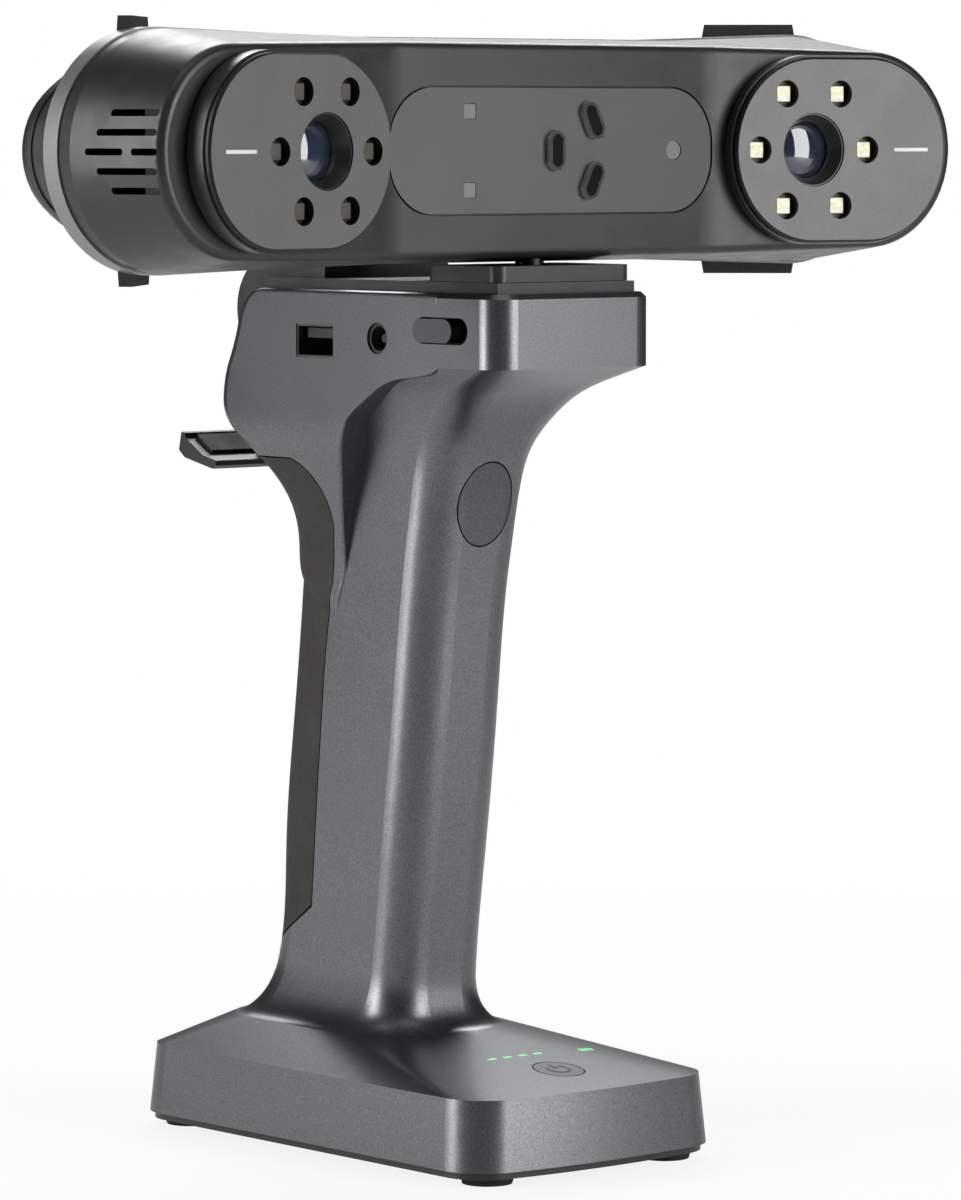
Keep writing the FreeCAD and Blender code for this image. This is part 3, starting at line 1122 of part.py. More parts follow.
# power button and lights in the sloping top of the base, drawn square to the slope
slope_front = size["base_half_depth"] - size["base_draft"]
slope_rise = size["slope_top"] - size["base_edge_height"]
foot_front = -grip_front(size["slope_top"]) + size["foot_flare"]
slope_angle = math.degrees(math.atan2(slope_rise, slope_front - foot_front))


def on_slope(across, ahead):
    """A point of the sloping top in front of the grip."""
    return (across, -ahead, size["base_edge_height"]
            + (slope_front - ahead) * math.tan(math.radians(slope_angle)))


power_place = on_slope(size["power_across"], size["power_ahead"])
power_bar = Part.makeCylinder(size["power_radius"], 8, Vector(0, 0, -4))
power_well = Part.makeCylinder(size["power_radius"] + gap, 16, Vector(0, 0, -10))
power_shape = placed(power_bar, power_place, slope_angle).common(handle_outer)
power_board_shape = placed(centred_box(24, 20, 1.2, 0, 2, -8).fuse(
    centred_box(5, 5, 2.8 - size["power_travel"] - 0.1, 0, 0, -6.8)), power_place, slope_angle)
light_bars = [placed(centred_box(size["charge_light_length"], 1.1, 7, 0, 0, -5),
                     on_slope(size["charge_across"] + number * size["charge_pitch"], size["charge_ahead"]),
                     slope_angle) for number in range(4)]
status_bar = placed(centred_box(size["status_light_length"], 1.9, 7, 0, 0, -5),
                    on_slope(size["status_across"], size["status_ahead"]), slope_angle)

# hollows: batteries in the grip, boards in the head, the foot of the base
lean_angle = (size["front_rake"] + size["rear_rake"]) / 2
bay_place = (0, (size["grip_rear"] - size["grip_front"]) / 2, size["grip_reference"])
cell_radius, cell_length = size["cell_diameter"] / 2, size["cell_length"]
bay_side = cell_radius + 0.6
cell_foot, bay_foot = -50, -88
bay = placed(centred_box(2 * bay_side, 4 * bay_side, cell_foot + cell_length + 1 - bay_foot, 0, 0, bay_foot),
             bay_place, lean_angle)
cells_shape = Part.makeCompound([placed(Part.makeCylinder(cell_radius, cell_length,
                                                          Vector(0, side * (cell_radius + 0.25), cell_foot)),
                                        bay_place, lean_angle) for side in (-1, 1)])
room_half = size["head_half_width"] - 3.1
head_room = Part.makeBox(2 * room_half, 72, 11, Vector(-room_half, -48, 179))
wire_way = Part.makeCylinder(4, 68, Vector(0, 8, 112))
base_room = Part.makeBox(59, 108, 13.2, Vector(-29.5, -54, base_floor))
post_places = [(x, y) for x in (-26, 26) for y in (-34, 34)]
posts = [Part.makeCylinder(3.4, 14, Vector(x, y, base_floor)) for x, y in post_places]
post_bores = [Part.makeCylinder(size["base_screw_radius"], 9, Vector(x, y, base_floor)) for x, y in post_places]

# hinge recess and the slot for the phone holder's arm
hub_y, hub_z = size["hub_behind"], size["hub_level"]
recess = size["hub_radius"] + 0.5
hinge_room = side_block([(hub_y - recess, hub_z), (hub_y - recess, top + 2), (70, top + 2), (70, hub_z - recess),
                         (hub_y, hub_z - recess)], size["ear_outer"] + 0.4)
hinge_round = Part.makeCylinder(recess, 2 * size["ear_outer"] + 0.8,
                                Vector(-size["ear_outer"] - 0.4, hub_y, hub_z), Vector(1, 0, 0))
arm_slot = side_block([(26, 194), (26, 181), (39.6, 176), (40.4, 150), (70, 150), (70, 194)],
                      size["arm_half_width"] + size["side_clearance"])

# sockets and slide switch in the left face of the head
usb_y, usb_z, jack_y, jack_z = size["usb_behind"], size["usb_level"], -size["jack_ahead"], size["jack_level"]
face_x = -size["head_half_width"]
usb_hole = centred_box(16, size["usb_width"], size["usb_height"], face_x + 7, usb_y, usb_z - size["usb_height"] / 2)
jack_hole = Part.makeCylinder(size["jack_radius"], 14, Vector(face_x - 1, jack_y, jack_z), Vector(1, 0, 0))


def long_bar(half_length, half_height, start, length, y, z):
    """A bar along X with a long round-ended section."""
    run = half_length - half_height
    bar = Part.makeBox(length, 2 * run, 2 * half_height, Vector(start, y - run, z - half_height))
    ends = [Part.makeCylinder(half_height, length, Vector(start, y + side * run, z), Vector(1, 0, 0))
            for side in (-1, 1)]
    return bar.fuse(ends).removeSplitter()


knob_half = size["slider_length"] / 2
slot_half = knob_half + size["slider_travel"] / 2 + gap
slider_y = -size["slider_ahead"]
slider_slot = long_bar(slot_half, size["slider_height"] / 2 + gap, face_x - 1, 5,
                       slider_y - size["slider_travel"] / 2, size["slider_level"])
knob_shape = long_bar(knob_half, size["slider_height"] / 2, face_x - size["slider_proud"],
                      3 + size["slider_proud"], slider_y, size["slider_level"])
switch_shape = Part.makeBox(5, 23, 9, Vector(face_x + 3.4, slider_y - 14, size["slider_level"] - 4.5))

bracket_holes = [Part.makeCylinder(1.6, 8, Vector(across, back - size["lens_axis_ahead"], top - 7))
                 for across, back in bracket_screw_places]
hollows = [pad_seat, placed(trigger_well, trigger_place, trigger_angle),
           placed(power_well, power_place, slope_angle).common(Part.makeBox(80, 80, 30, Vector(-40, -70, base_floor))),
           *light_bars, status_bar, bay.common(Part.makeBox(80, 80, 200, Vector(-40, -40, base_floor + 1))),
           head_room, wire_way, hinge_room, hinge_round, arm_slot, usb_hole, jack_hole, slider_slot,
           *bracket_holes]
base_hollow = base_room.cut(posts)
handle_shape = handle_outer.cut(hollows).cut(base_hollow).cut(post_bores)

handle_shell = made("handle_shell", handle_shape)
grip_pad = made("grip_pad", pad_shape)
trigger_button = made("trigger_button", trigger_shape)
trigger_switch = made("trigger_switch", trigger_switch_shape)
power_button = made("power_button", power_shape)
power_board = made("power_board", power_board_shape)
charge_lights = made("charge_lights", Part.makeCompound([bar.common(handle_outer) for bar in light_bars]))
status_light = made("status_light", status_bar.common(handle_outer))
battery_cells = made("battery_cells", cells_shape)
slide_switch = made("slide_switch", knob_shape)
switch_body = made("switch_body", switch_shape)

# sockets: a metal shell with a tongue, and a round jack with its pin
usb_wall = 0.4
usb_outer = centred_box(14, size["usb_width"] - 0.1, size["usb_height"] - 0.1, face_x + 7.3, usb_y,
                        usb_z - size["usb_height"] / 2 + 0.05)
usb_inner = centred_box(14, size["usb_width"] - 0.1 - 2 * usb_wall, size["usb_height"] - 0.1 - 2 * usb_wall,
                        face_x + 6.3, usb_y, usb_z - size["usb_height"] / 2 + 0.05 + usb_wall)
usb_socket = made("usb_socket", usb_outer.cut(usb_inner))
usb_tongue = made("usb_tongue", centred_box(11, 10.6, 2.2, face_x + 7.8, usb_y, usb_z + 0.6))
jack_body = Part.makeCylinder(size["jack_radius"] - 0.05, 12, Vector(face_x + 0.6, jack_y, jack_z), Vector(1, 0, 0))
jack_bore = Part.makeCylinder(2.75, 10, Vector(face_x, jack_y, jack_z), Vector(1, 0, 0))
jack_pin = Part.makeCylinder(1, 9, Vector(face_x + 2.2, jack_y, jack_z), Vector(1, 0, 0))
dc_jack = made("dc_jack", jack_body.cut(jack_bore).fuse(jack_pin))
control_board = made("control_board", Part.makeBox(24, 66, size["board_thickness"], Vector(-6.5, -46, 180.5)))

# plate under the base with its feet and screws
plate_outline = bowed_outline(size["foot_height"], size["base_half_width"] - 1.1, size["base_half_depth"] - 1.1)
plate_block = Part.Face(plate_outline).extrude(Vector(0, 0, size["cover_plate_thickness"]))
plate_block = plate_block.makeFillet(size["base_corner"] - 1.1,
                                     [edge for edge in plate_block.Edges
                                      if edge.BoundBox.ZLength > 1 and edge.BoundBox.XLength < 0.5])
screw_sinks = [Part.makeCylinder(2.6, 1, Vector(x, y, size["foot_height"] - 0.1)) for x, y in post_places]
base_cover = made("base_cover", plate_block.cut(post_bores + screw_sinks).cut(
    [Part.makeCylinder(size["base_screw_radius"], 4, Vector(x, y, 1)) for x, y in post_places]))
base_screws = made("base_screws", Part.makeCompound([
    Part.makeCylinder(2.5, 0.8, Vector(x, y, size["foot_height"] + 0.1)).fuse(
        Part.makeCylinder(size["base_screw_radius"] - 0.05, 8, Vector(x, y, size["foot_height"] + 0.9)))
    for x, y in post_places]))
foot_across = size["base_half_width"] - size["foot_inset"]
foot_back = size["base_half_depth"] - size["foot_inset"]
rubber_feet = made("rubber_feet", Part.makeCompound([
    Part.makeCone(size["foot_radius"] - 0.5, size["foot_radius"], size["foot_height"],
                  Vector(x * foot_across, y * foot_back, 0)) for x in (-1, 1) for y in (-1, 1)]))

# ---------------------------------------------------------------------------
# Phone holder: drawn upright round its hinge, Z along the arm, then leaned back
# ---------------------------------------------------------------------------
def seat_holder(item):
    turn(item, (1, 0, 0), "holder_tilt")
    return move(item, "0", "hub_behind", "hub_level")


ARM_BACK = "arm_reach"
ARM_FACE = "arm_reach + arm_thickness"
LOWER = "-jaw_below"
UPPER = "phone_gap - jaw_below"
arm_plate = slab("arm_plate", "plate_half_width", ARM_BACK, ARM_FACE, f"{LOWER} + 0.4", UPPER)
arm_link = slab("arm_link", "arm_half_width", "0", f"{ARM_BACK} + 1", "-6", "6")
knuckle = cylinder("knuckle", "6", "2 * arm_half_width", "-arm_half_width", "0", "0", "x")
tongue_room = slab("tongue_room", "tongue_half_width + side_clearance", f"{ARM_BACK} + 0.95", f"{ARM_FACE} - 0.95",
                   f"{LOWER} - 1", "16")
knuckle_bore = cylinder("knuckle_bore", "pin_radius + running_clearance", "60", "-30", "0", "0", "x")
holder_arm = seat_holder(cut("holder_arm", fuse("arm_solid", arm_plate, arm_link, knuckle), tongue_room,
                             knuckle_bore))

# the jaws' gripping faces rise towards their tips and carry a rubber strip each
arm_back = size["arm_reach"]
arm_face = arm_back + size["arm_thickness"]
tip = arm_face + size["jaw_depth"]
rise = size["jaw_depth"] * math.tan(math.radians(size["jaw_slope"]))
thick = size["jaw_thickness"]
jaw_points = [(arm_back, 0), (arm_face + 0.2, 0), (tip - 1.6, rise), (tip - 1.6, rise + 0.9), (tip - 0.3, rise + 0.9),
              (tip, rise + 0.4), (tip, -1), (tip - 2.4, -thick), (arm_back + 1, -thick), (arm_back, -thick + 1)]
strip_points = [(arm_face + 0.8, 0.14), (tip - 2.2, rise - 0.14), (tip - 2.2, rise + 0.66), (arm_face + 0.8, 0.94)]


def jaw_block(points, half_width, level, flip=1):
    return side_block([(y, level + flip * z) for y, z in points], half_width)


lower_level, upper_level = -size["jaw_below"], size["phone_gap"] - size["jaw_below"]
tongue_block = Part.makeBox(2 * size["tongue_half_width"], size["arm_thickness"] - 2.5, size["jaw_travel"] + 30,
                            Vector(-size["tongue_half_width"], arm_back + 1.25, lower_level - 1))
lower_block = jaw_block(jaw_points, size["jaw_half_width"], lower_level)
upper_block = jaw_block(jaw_points, size["jaw_half_width"], upper_level, -1)
lower_strip = jaw_block(strip_points, size["jaw_half_width"] - 3, lower_level)
upper_strip = jaw_block(strip_points, size["jaw_half_width"] - 3, upper_level, -1)
lower_jaw = seat_holder(made("lower_jaw", lower_block.fuse(tongue_block).cut(lower_strip)))
upper_jaw = seat_holder(made("upper_jaw", upper_block.cut(upper_strip)))
lower_jaw_pad = seat_holder(made("lower_jaw_pad", lower_strip))
upper_jaw_pad = seat_holder(made("upper_jaw_pad", upper_strip))
hinge_pin = cylinder("hinge_pin", "pin_radius", "2 * ear_outer", "-ear_outer", "hub_behind", "hub_level", "x")

# ---------------------------------------------------------------------------
# Check every piece and write it out
# ---------------------------------------------------------------------------
doc.recompute()
pieces = [corner_bumpers, front_shell, mid_frame, rear_cover, end_grilles, rear_screws, rear_button, rear_light,
          usb_c_socket, centre_panel, laser_emitters, laser_windows, texture_camera, pattern_windows, optical_frame,
          main_board, heat_sink, quick_release_plate, tripod_screw, tripod_bushing, mount_bracket, bracket_screws,
          handle_shell, grip_pad, trigger_button, trigger_switch, power_button, power_board, charge_lights,
          status_light, battery_cells, slide_switch, switch_body, usb_socket, usb_tongue, dc_jack, control_board,
          base_cover, base_screws, rubber_feet, holder_arm, lower_jaw, upper_jaw, lower_jaw_pad, upper_jaw_pad,
          hinge_pin]
pieces += list(module.values())
for item in doc.Objects:
    if "Invalid" in item.State or "Error" in item.State:
        raise RuntimeError(f"{item.Name} did not work out: {item.State}")
os.makedirs("parts", exist_ok=True)
for piece in pieces:
    name = piece.Name
    piece.Label = name
    shape = piece.Shape
    if shape.isNull() or not shape.isValid() or not shape.Solids:
        raise RuntimeError(f"{name} is not a sound solid")
    shape.exportStep(f"parts/{name}.step")
    print(name, len(shape.Solids), round(shape.Volume, 1))
print(len(pieces), "pieces written")
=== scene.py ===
import json
import math

import bmesh
import bpy
from mathutils import Matrix, Vector


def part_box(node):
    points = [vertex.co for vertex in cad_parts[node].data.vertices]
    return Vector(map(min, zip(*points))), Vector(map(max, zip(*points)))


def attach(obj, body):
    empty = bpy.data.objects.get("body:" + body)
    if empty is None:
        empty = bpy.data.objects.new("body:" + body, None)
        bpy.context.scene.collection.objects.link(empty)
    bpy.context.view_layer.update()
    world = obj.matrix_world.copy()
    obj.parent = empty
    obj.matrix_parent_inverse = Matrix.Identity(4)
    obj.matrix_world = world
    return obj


MM = 0.001
# the sign of X on each side of the head, seen from the front
SIDES = {"left": -1, "right": 1}

# Marks in millimetres, with the ring's gap in degrees: the line on a lens plate, which starts
# that far from the middle of the lens, and the ring and bar of the on-off symbol
PLATE_LINE = {"start": 21.8, "length": 9.2, "width": 0.8, "height": 0.12}
SYMBOL_RING = {"radius": 2.5, "width": 0.7, "height": 0.08, "gap": 70}
SYMBOL_BAR = {"start": 0.6, "length": 2.6, "width": 0.7, "height": 0.08}
RING_STEPS = 40
# how nearly a main face looks along its axis, as a cosine
FACE_COSINE = 0.9

# Camera: lens, sensor and place in millimetres, its near and far limits of view in metres, and
# the directions that point backwards and to the right from it
FOCAL_LENGTH = 185
SENSOR = 36
CAMERA_PLACE = (-881.55, -1068.12, 229.24)
CLIP_NEAR, CLIP_FAR = 0.05, 50
CAMERA_BACK = (-0.6418, -0.7630, 0.0767)
CAMERA_RIGHT = (0.7653, -0.6437, 0)

# Studio, in metres and watts. The floor is a square of twice FLOOR_HALF, and the share of pure
# white in what the camera sees of it goes from low to high between start and end from the origin.
FLOOR_HALF = 6
FLOOR_WHITE = {"low": 0.86, "high": 1, "start": 0.1, "end": 0.5}
WORLD_COLOUR = (0.95, 0.97, 1, 1)
WORLD_STRENGTH = 0.05
OBJECT_MIDDLE = (0, 0, 0.13)
# name, azimuth, elevation, distance, width, height, power
SOFTBOXES = (
    ("left", -114, 6, 1.1, 0.4, 1.3, 14),
    ("right", 20, 6, 1.1, 0.55, 1.3, 12),
    ("top", -40, 80, 1.1, 1.0, 0.8, 2),
    ("behind", 140, 40, 1.2, 0.8, 0.5, 9),
)

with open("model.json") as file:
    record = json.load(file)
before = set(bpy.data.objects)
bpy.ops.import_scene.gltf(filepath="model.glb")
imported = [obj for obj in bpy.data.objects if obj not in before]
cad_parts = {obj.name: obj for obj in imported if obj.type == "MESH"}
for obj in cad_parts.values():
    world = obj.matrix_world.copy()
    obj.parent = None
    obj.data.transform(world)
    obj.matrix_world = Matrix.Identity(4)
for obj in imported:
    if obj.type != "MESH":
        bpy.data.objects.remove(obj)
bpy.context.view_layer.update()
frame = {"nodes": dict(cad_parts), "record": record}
nodes = frame["nodes"]
scene = bpy.context.scene
collection = scene.collection


# ---------------------------------------------------------------------------
# Materials: each is a small node tree in the object's own coordinates, with sizes in metres
# ---------------------------------------------------------------------------
def grey(level, warmth=0.0):
    """A linear near-grey; warmth above 0 leans to yellow, below 0 to blue."""
    return (level * (1 + warmth), level, level * (1 - warmth), 1)


class Tree:
    """A material's node tree, with short calls for the nodes that the finishes share."""

    def __init__(self, name):
        self.material = bpy.data.materials.new(name)
        self.material.use_nodes = True
        self.nodes = self.material.node_tree.nodes
        self.links = self.material.node_tree.links
        self.shader = self.nodes["Principled BSDF"]
        self.place = self.nodes.new("ShaderNodeTexCoord").outputs["Object"]

    def set(self, **values):
        """Constants on the shader's own sockets; an underscore stands for a space in a socket's name."""
        for socket, value in values.items():
            self.shader.inputs[socket.replace("_", " ")].default_value = value
        return self

    def join(self, source, socket):
        """Links a node's output to a socket of the shader."""
        self.links.new(source, self.shader.inputs[socket])

    def stretched(self, scale):
        """The object's coordinates, scaled along its axes."""
        mapping = self.nodes.new("ShaderNodeMapping")
        mapping.inputs["Scale"].default_value = scale
        self.links.new(self.place, mapping.inputs["Vector"])
        return mapping.outputs["Vector"]

    def noise(self, size, detail=2, place=None):
        """Noise with features of a size in metres."""
        node = self.nodes.new("ShaderNodeTexNoise")
        node.inputs["Scale"].default_value = 1 / size
        node.inputs["Detail"].default_value = detail
        self.links.new(place or self.place, node.inputs["Vector"])
        return node.outputs["Fac"]

    def cells(self, size):
        """The distance to the nearest cell centre, for cells of a size in metres."""
        node = self.nodes.new("ShaderNodeTexVoronoi")
        node.inputs["Scale"].default_value = 1 / size
        self.links.new(self.place, node.inputs["Vector"])
        return node.outputs["Distance"]

    def spread(self, source, low, high, start=0.3, end=0.7):
        """A source between start and end becomes a number between low and high."""
        node = self.nodes.new("ShaderNodeMapRange")
        limits = {"From Min": start, "From Max": end, "To Min": low, "To Max": high}
        for socket, value in limits.items():
            node.inputs[socket].default_value = value
        self.links.new(source, node.inputs["Value"])
        return node.outputs["Result"]

    def tint(self, source, low, high, start=0.3, end=0.7):
        """A source between start and end becomes a colour between low and high."""
        node = self.nodes.new("ShaderNodeValToRGB")
        first, last = node.color_ramp.elements
        first.position, first.color = start, low
        last.position, last.color = end, high
        self.links.new(source, node.inputs["Fac"])
        return node.outputs["Color"]

    def facing(self, axis, low, high, start, end):
        """A colour by how far the surface faces along an axis of the object, from -1 to 1.

        The colour is low up to start, high from end on, and a mixture between them.
        """
        parts = self.nodes.new("ShaderNodeSeparateXYZ")
        self.links.new(self.nodes.new("ShaderNodeTexCoord").outputs["Normal"], parts.inputs[0])
        share = self.spread(parts.outputs[axis], low=0, high=1, start=start, end=end)
        return self.tint(share, low, high, start=0, end=1)

    def times(self, first, second):
        """Two colours multiplied."""
        mix = self.nodes.new("ShaderNodeMix")
        mix.data_type, mix.blend_type = "RGBA", "MULTIPLY"
        mix.inputs["Factor"].default_value = 1
        self.links.new(first, mix.inputs["A"])
        self.links.new(second, mix.inputs["B"])
        return mix.outputs["Result"]

    def raised(self, height, depth):
        """Bump from a height source; depth is in metres."""
        node = self.nodes.new("ShaderNodeBump")
        node.inputs["Strength"].default_value = 1
        node.inputs["Distance"].default_value = depth
        self.links.new(height, node.inputs["Height"])
        self.join(node.outputs["Normal"], "Normal")
        return self


def satin_paint(name, level):
    """Metallic paint: fine flakes over a faint mottle."""
    tree = Tree(name).set(Metallic=0.97)
    flakes = tree.noise(size=0.0003, detail=3)
    colour = tree.tint(flakes, low=grey(level * 0.7, warmth=-0.03), high=grey(level * 1.3, warmth=-0.03))
    mottle = tree.noise(size=0.018, detail=3)
    tree.join(colour, "Base Color")
    tree.join(tree.spread(mottle, low=0.33, high=0.355), "Roughness")
    return tree.raised(flakes, depth=0.0000025).material


def moulded(name, level, roughness, warmth=0.0, metallic=0.0, shine=0.5):
    """Spark-eroded plastic: a fine even grain with slow changes of gloss."""
    tree = Tree(name).set(Metallic=metallic, Specular_IOR_Level=shine)
    grain = tree.noise(size=0.00035, detail=4)
    mottle = tree.noise(size=0.02, detail=4)
    gloss = tree.noise(size=0.006, detail=3)
    colour = tree.tint(mottle, low=grey(level * 0.9, warmth), high=grey(level * 1.1, warmth))
    tree.join(colour, "Base Color")
    tree.join(tree.spread(gloss, low=roughness - 0.05, high=roughness + 0.05), "Roughness")
    return tree.raised(grain, depth=0.00001).material


def blasted(name, level, roughness=0.42, metallic=0.6, painted_shade_sides=False):
    """Bead-blasted and anodised aluminium.

    With its sides option on, a face plate is black wherever it turns away from the front: painted shade
    for the shadowed gap round the plate.
    """
    tree = Tree(name).set(Metallic=metallic)
    dimples = tree.cells(size=0.0003)
    speckle = tree.noise(size=0.0004, detail=3)
    gloss = tree.noise(size=0.01, detail=3)
    colour = tree.tint(speckle, low=grey(level * 0.92), high=grey(level * 1.08))
    # painted shade: the sides go black where the gap round the plate lies in shadow
    if painted_shade_sides:
        paint = tree.facing("Y", low=grey(1), high=grey(0.04), start=-0.97, end=-0.9)
        colour = tree.times(colour, paint)
    tree.join(colour, "Base Color")
    tree.join(tree.spread(gloss, low=roughness - 0.04, high=roughness + 0.04), "Roughness")
    return tree.raised(dimples, depth=0.000006).material


def rubber(name, level):
    """Rubber with a leathery grain and pale dust in it."""
    tree = Tree(name).set(Specular_IOR_Level=0.35)
    grain = tree.cells(size=0.0006)
    dust = tree.noise(size=0.0005, detail=4)
    gloss = tree.noise(size=0.01, detail=3)
    colour = tree.tint(dust, low=grey(level * 0.75, warmth=0.05), high=grey(level * 1.3, warmth=0.05))
    tree.join(colour, "Base Color")
    tree.join(tree.spread(gloss, low=0.62, high=0.78), "Roughness")
    return tree.raised(grain, depth=0.00003).material


def bright_metal(name, level, roughness):
    """Turned or stamped metal, streaked by the tool."""
    tree = Tree(name).set(Metallic=1.0)
    streaks = tree.noise(size=0.0004, detail=3, place=tree.stretched((1, 1, 14)))
    colour = tree.tint(streaks, low=grey(level * 0.85, warmth=0.02), high=grey(level * 1.1, warmth=0.02))
    tree.join(colour, "Base Color")
    tree.join(tree.spread(streaks, low=roughness - 0.08, high=roughness + 0.1), "Roughness")
    return tree.raised(streaks, depth=0.000005).material


def board_mask(name):
    """Circuit board: green mask over tracks, darker between them."""
    tree = Tree(name)
    tracks = tree.noise(size=0.0012, detail=1, place=tree.stretched((1, 1, 0.3)))
    dark_green, green = (0.006, 0.07, 0.025, 1), (0.02, 0.16, 0.06, 1)
    tree.join(tree.tint(tracks, low=dark_green, high=green, start=0.48, end=0.52), "Base Color")
    tree.join(tree.spread(tree.noise(size=0.004), low=0.3, high=0.45), "Roughness")
    return tree.raised(tracks, depth=0.00003).material


def shrink_wrap(name):
    """Battery sleeve with fine creases round its length."""
    tree = Tree(name).set(Coat_Weight=0.3)
    creases = tree.noise(size=0.003, detail=4, place=tree.stretched((1, 1, 0.2)))
    dark_blue, blue = (0.02, 0.12, 0.3, 1), (0.04, 0.2, 0.42, 1)
    tree.join(tree.tint(creases, low=dark_blue, high=blue), "Base Color")
    tree.join(tree.spread(creases, low=0.25, high=0.4), "Roughness")
    return tree.raised(creases, depth=0.00005).material


def lamp(name, low, high, glow):
    """A light chip or light pipe, glowing faintly and unevenly."""
    tree = Tree(name).set(Roughness=0.3, Emission_Strength=glow)
    colour = tree.tint(tree.noise(size=0.0008, detail=3), low, high)
    tree.join(colour, "Base Color")
    tree.join(colour, "Emission Color")
    return tree.raised(tree.noise(size=0.0003), depth=0.00001).material


def coated_glass(name, low, high, roughness):
    """A coated lens or window, shown opaque, with a slow tint over it."""
    tree = Tree(name).set(Coat_Weight=1.0, Coat_Roughness=0.04, IOR=1.8)
    tree.join(tree.tint(tree.noise(size=0.006), low, high), "Base Color")
    tree.join(tree.spread(tree.noise(size=0.002), low=roughness, high=roughness + 0.03), "Roughness")
    return tree.material


def projector(name):
    """A projector's mount: black to the front, and bare metal on the sides that stand out of the panel."""
    tree = Tree(name)
    towards_front = {"start": -0.9, "end": -0.7}
    shade = tree.facing("Y", low=grey(0.006), high=grey(0.9), **towards_front)
    mottle = tree.tint(tree.noise(size=0.001, detail=3), low=grey(0.85), high=grey(1))
    tree.join(tree.times(shade, mottle), "Base Color")
    tree.join(tree.facing("Y", low=grey(0), high=grey(1), **towards_front), "Metallic")
    tree.join(tree.spread(tree.noise(size=0.002), low=0.3, high=0.4), "Roughness")
    return tree.material


# The finish of each material slot in the record
MATERIALS = {
    "handle_paint": satin_paint("handle_paint", level=0.17),
    "button_plastic": satin_paint("button_plastic", level=0.11),
    "casing": moulded("casing", level=0.045, roughness=0.36, metallic=0.5),
    "frame_metal": blasted("frame_metal", level=0.26),
    # the panel and the lens plates carry painted shade on their sides
    "panel": blasted("panel", level=0.085, roughness=0.45, metallic=0.2, painted_shade_sides=True),
    "lens_plate": blasted("lens_plate", level=0.14, roughness=0.45, metallic=0.15, painted_shade_sides=True),
    "rubber": rubber("rubber", level=0.03),
    "black_plastic": moulded("black_plastic", level=0.03, roughness=0.35),
    "screw_steel": bright_metal("screw_steel", level=0.4, roughness=0.3),
    "black_steel": bright_metal("black_steel", level=0.05, roughness=0.4),
    "socket_metal": bright_metal("socket_metal", level=0.12, roughness=0.35),
    "alloy": blasted("alloy", level=0.5, roughness=0.35, metallic=1.0),
    "board": board_mask("board"),
    "battery_wrap": shrink_wrap("battery_wrap"),
    "indicator": lamp("indicator", low=(0.1, 0.6, 0.18, 1), high=(0.25, 0.85, 0.35, 1), glow=0.5),
    "led": lamp("led", low=(0.62, 0.58, 0.36, 1), high=(0.85, 0.83, 0.66, 1), glow=0.25),
    "window_glass": coated_glass("window_glass", low=grey(0.14), high=grey(0.16), roughness=0.5),
    "lens_glass": coated_glass("lens_glass", low=(0.01, 0.014, 0.03, 1), high=(0.03, 0.04, 0.075, 1),
                               roughness=0.04),
}
# Nodes with a finish of their own in place of their slot's. The left camera's light chips are
# darker than the right one's because they look dark in the photograph: painted shade on chips that are
# alike.
SPECIAL = {
    "laser_emitters": projector("projector_black"),
    "laser_windows": moulded("projector_front", level=0.004, roughness=0.5, shine=0.08),
    "left_lights": moulded("painted_shade_chip", level=0.1, roughness=0.3, warmth=0.12),
    "left_light_board": moulded("black_mask", level=0.012, roughness=0.4),
    "right_light_board": moulded("black_mask_right", level=0.012, roughness=0.4),
}
WHITE_INK = moulded("white_ink", level=0.8, roughness=0.5)
DARK_INK = moulded("dark_ink", level=0.012, roughness=0.5)


def dress(piece, material):
    """Gives a piece one material in place of all that it has."""
    piece.data.materials.clear()
    piece.data.materials.append(material)


for subpart in frame["record"]["subparts"]:
    dress(nodes[subpart["node"]], MATERIALS[subpart["material_slot"]])
for node, finish in SPECIAL.items():
    dress(nodes[node], finish)


# ---------------------------------------------------------------------------
# Small marks, as thin raised pieces
# ---------------------------------------------------------------------------
def piece_from(mesh_maker, name, place, material, body):
    """A new piece from a bmesh in millimetres, put in place in the row frame and riding on a body."""
    mesh = bpy.data.meshes.new(name)
    bm = mesh_maker()
    bmesh.ops.scale(bm, vec=(MM, MM, MM), verts=bm.verts)
    bm.to_mesh(mesh)
    bm.free()
    piece = bpy.data.objects.new(name, mesh)
    piece.matrix_world = place
    collection.objects.link(piece)
    dress(piece, material)
    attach(piece, body)


def bar(start, length, width, height):
    """Makes a bar along X from start, lying on the XY plane."""
    def make():
        bm = bmesh.new()
        bmesh.ops.create_cube(bm, size=1)
        bmesh.ops.scale(bm, vec=(length, width, height), verts=bm.verts)
        bmesh.ops.translate(bm, vec=(start + length / 2, 0, height / 2), verts=bm.verts)
        return bm
    return make


def open_ring(radius, width, height, gap):
    """Makes a flat ring on the XY plane with a gap, in degrees, at +Y."""
    def make():
        bm = bmesh.new()
        rows = []
        inner, outer = radius - width / 2, radius + width / 2
        section = ((inner, 0), (outer, 0), (outer, height), (inner, height))
        for step in range(RING_STEPS + 1):
            turn = math.radians(90 + gap / 2 + (360 - gap) * step / RING_STEPS)
            rows.append([bm.verts.new((math.cos(turn) * r, math.sin(turn) * r, z)) for r, z in section])
        for before, after in zip(rows, rows[1:]):
            for k in range(4):
                bm.faces.new((before[k], before[(k + 1) % 4], after[(k + 1) % 4], after[k]))
        bm.faces.new(rows[0])
        bm.faces.new(rows[-1][::-1])
        bmesh.ops.recalc_face_normals(bm, faces=bm.faces)
        return bm
    return make


def on_plane(origin, across, out):
    """A matrix whose X is across and whose Z is out of the plane."""
    out, across = out.normalized(), across.normalized()
    return Matrix.Translation(origin) @ Matrix((across, out.cross(across), out)).transposed().to_4x4()


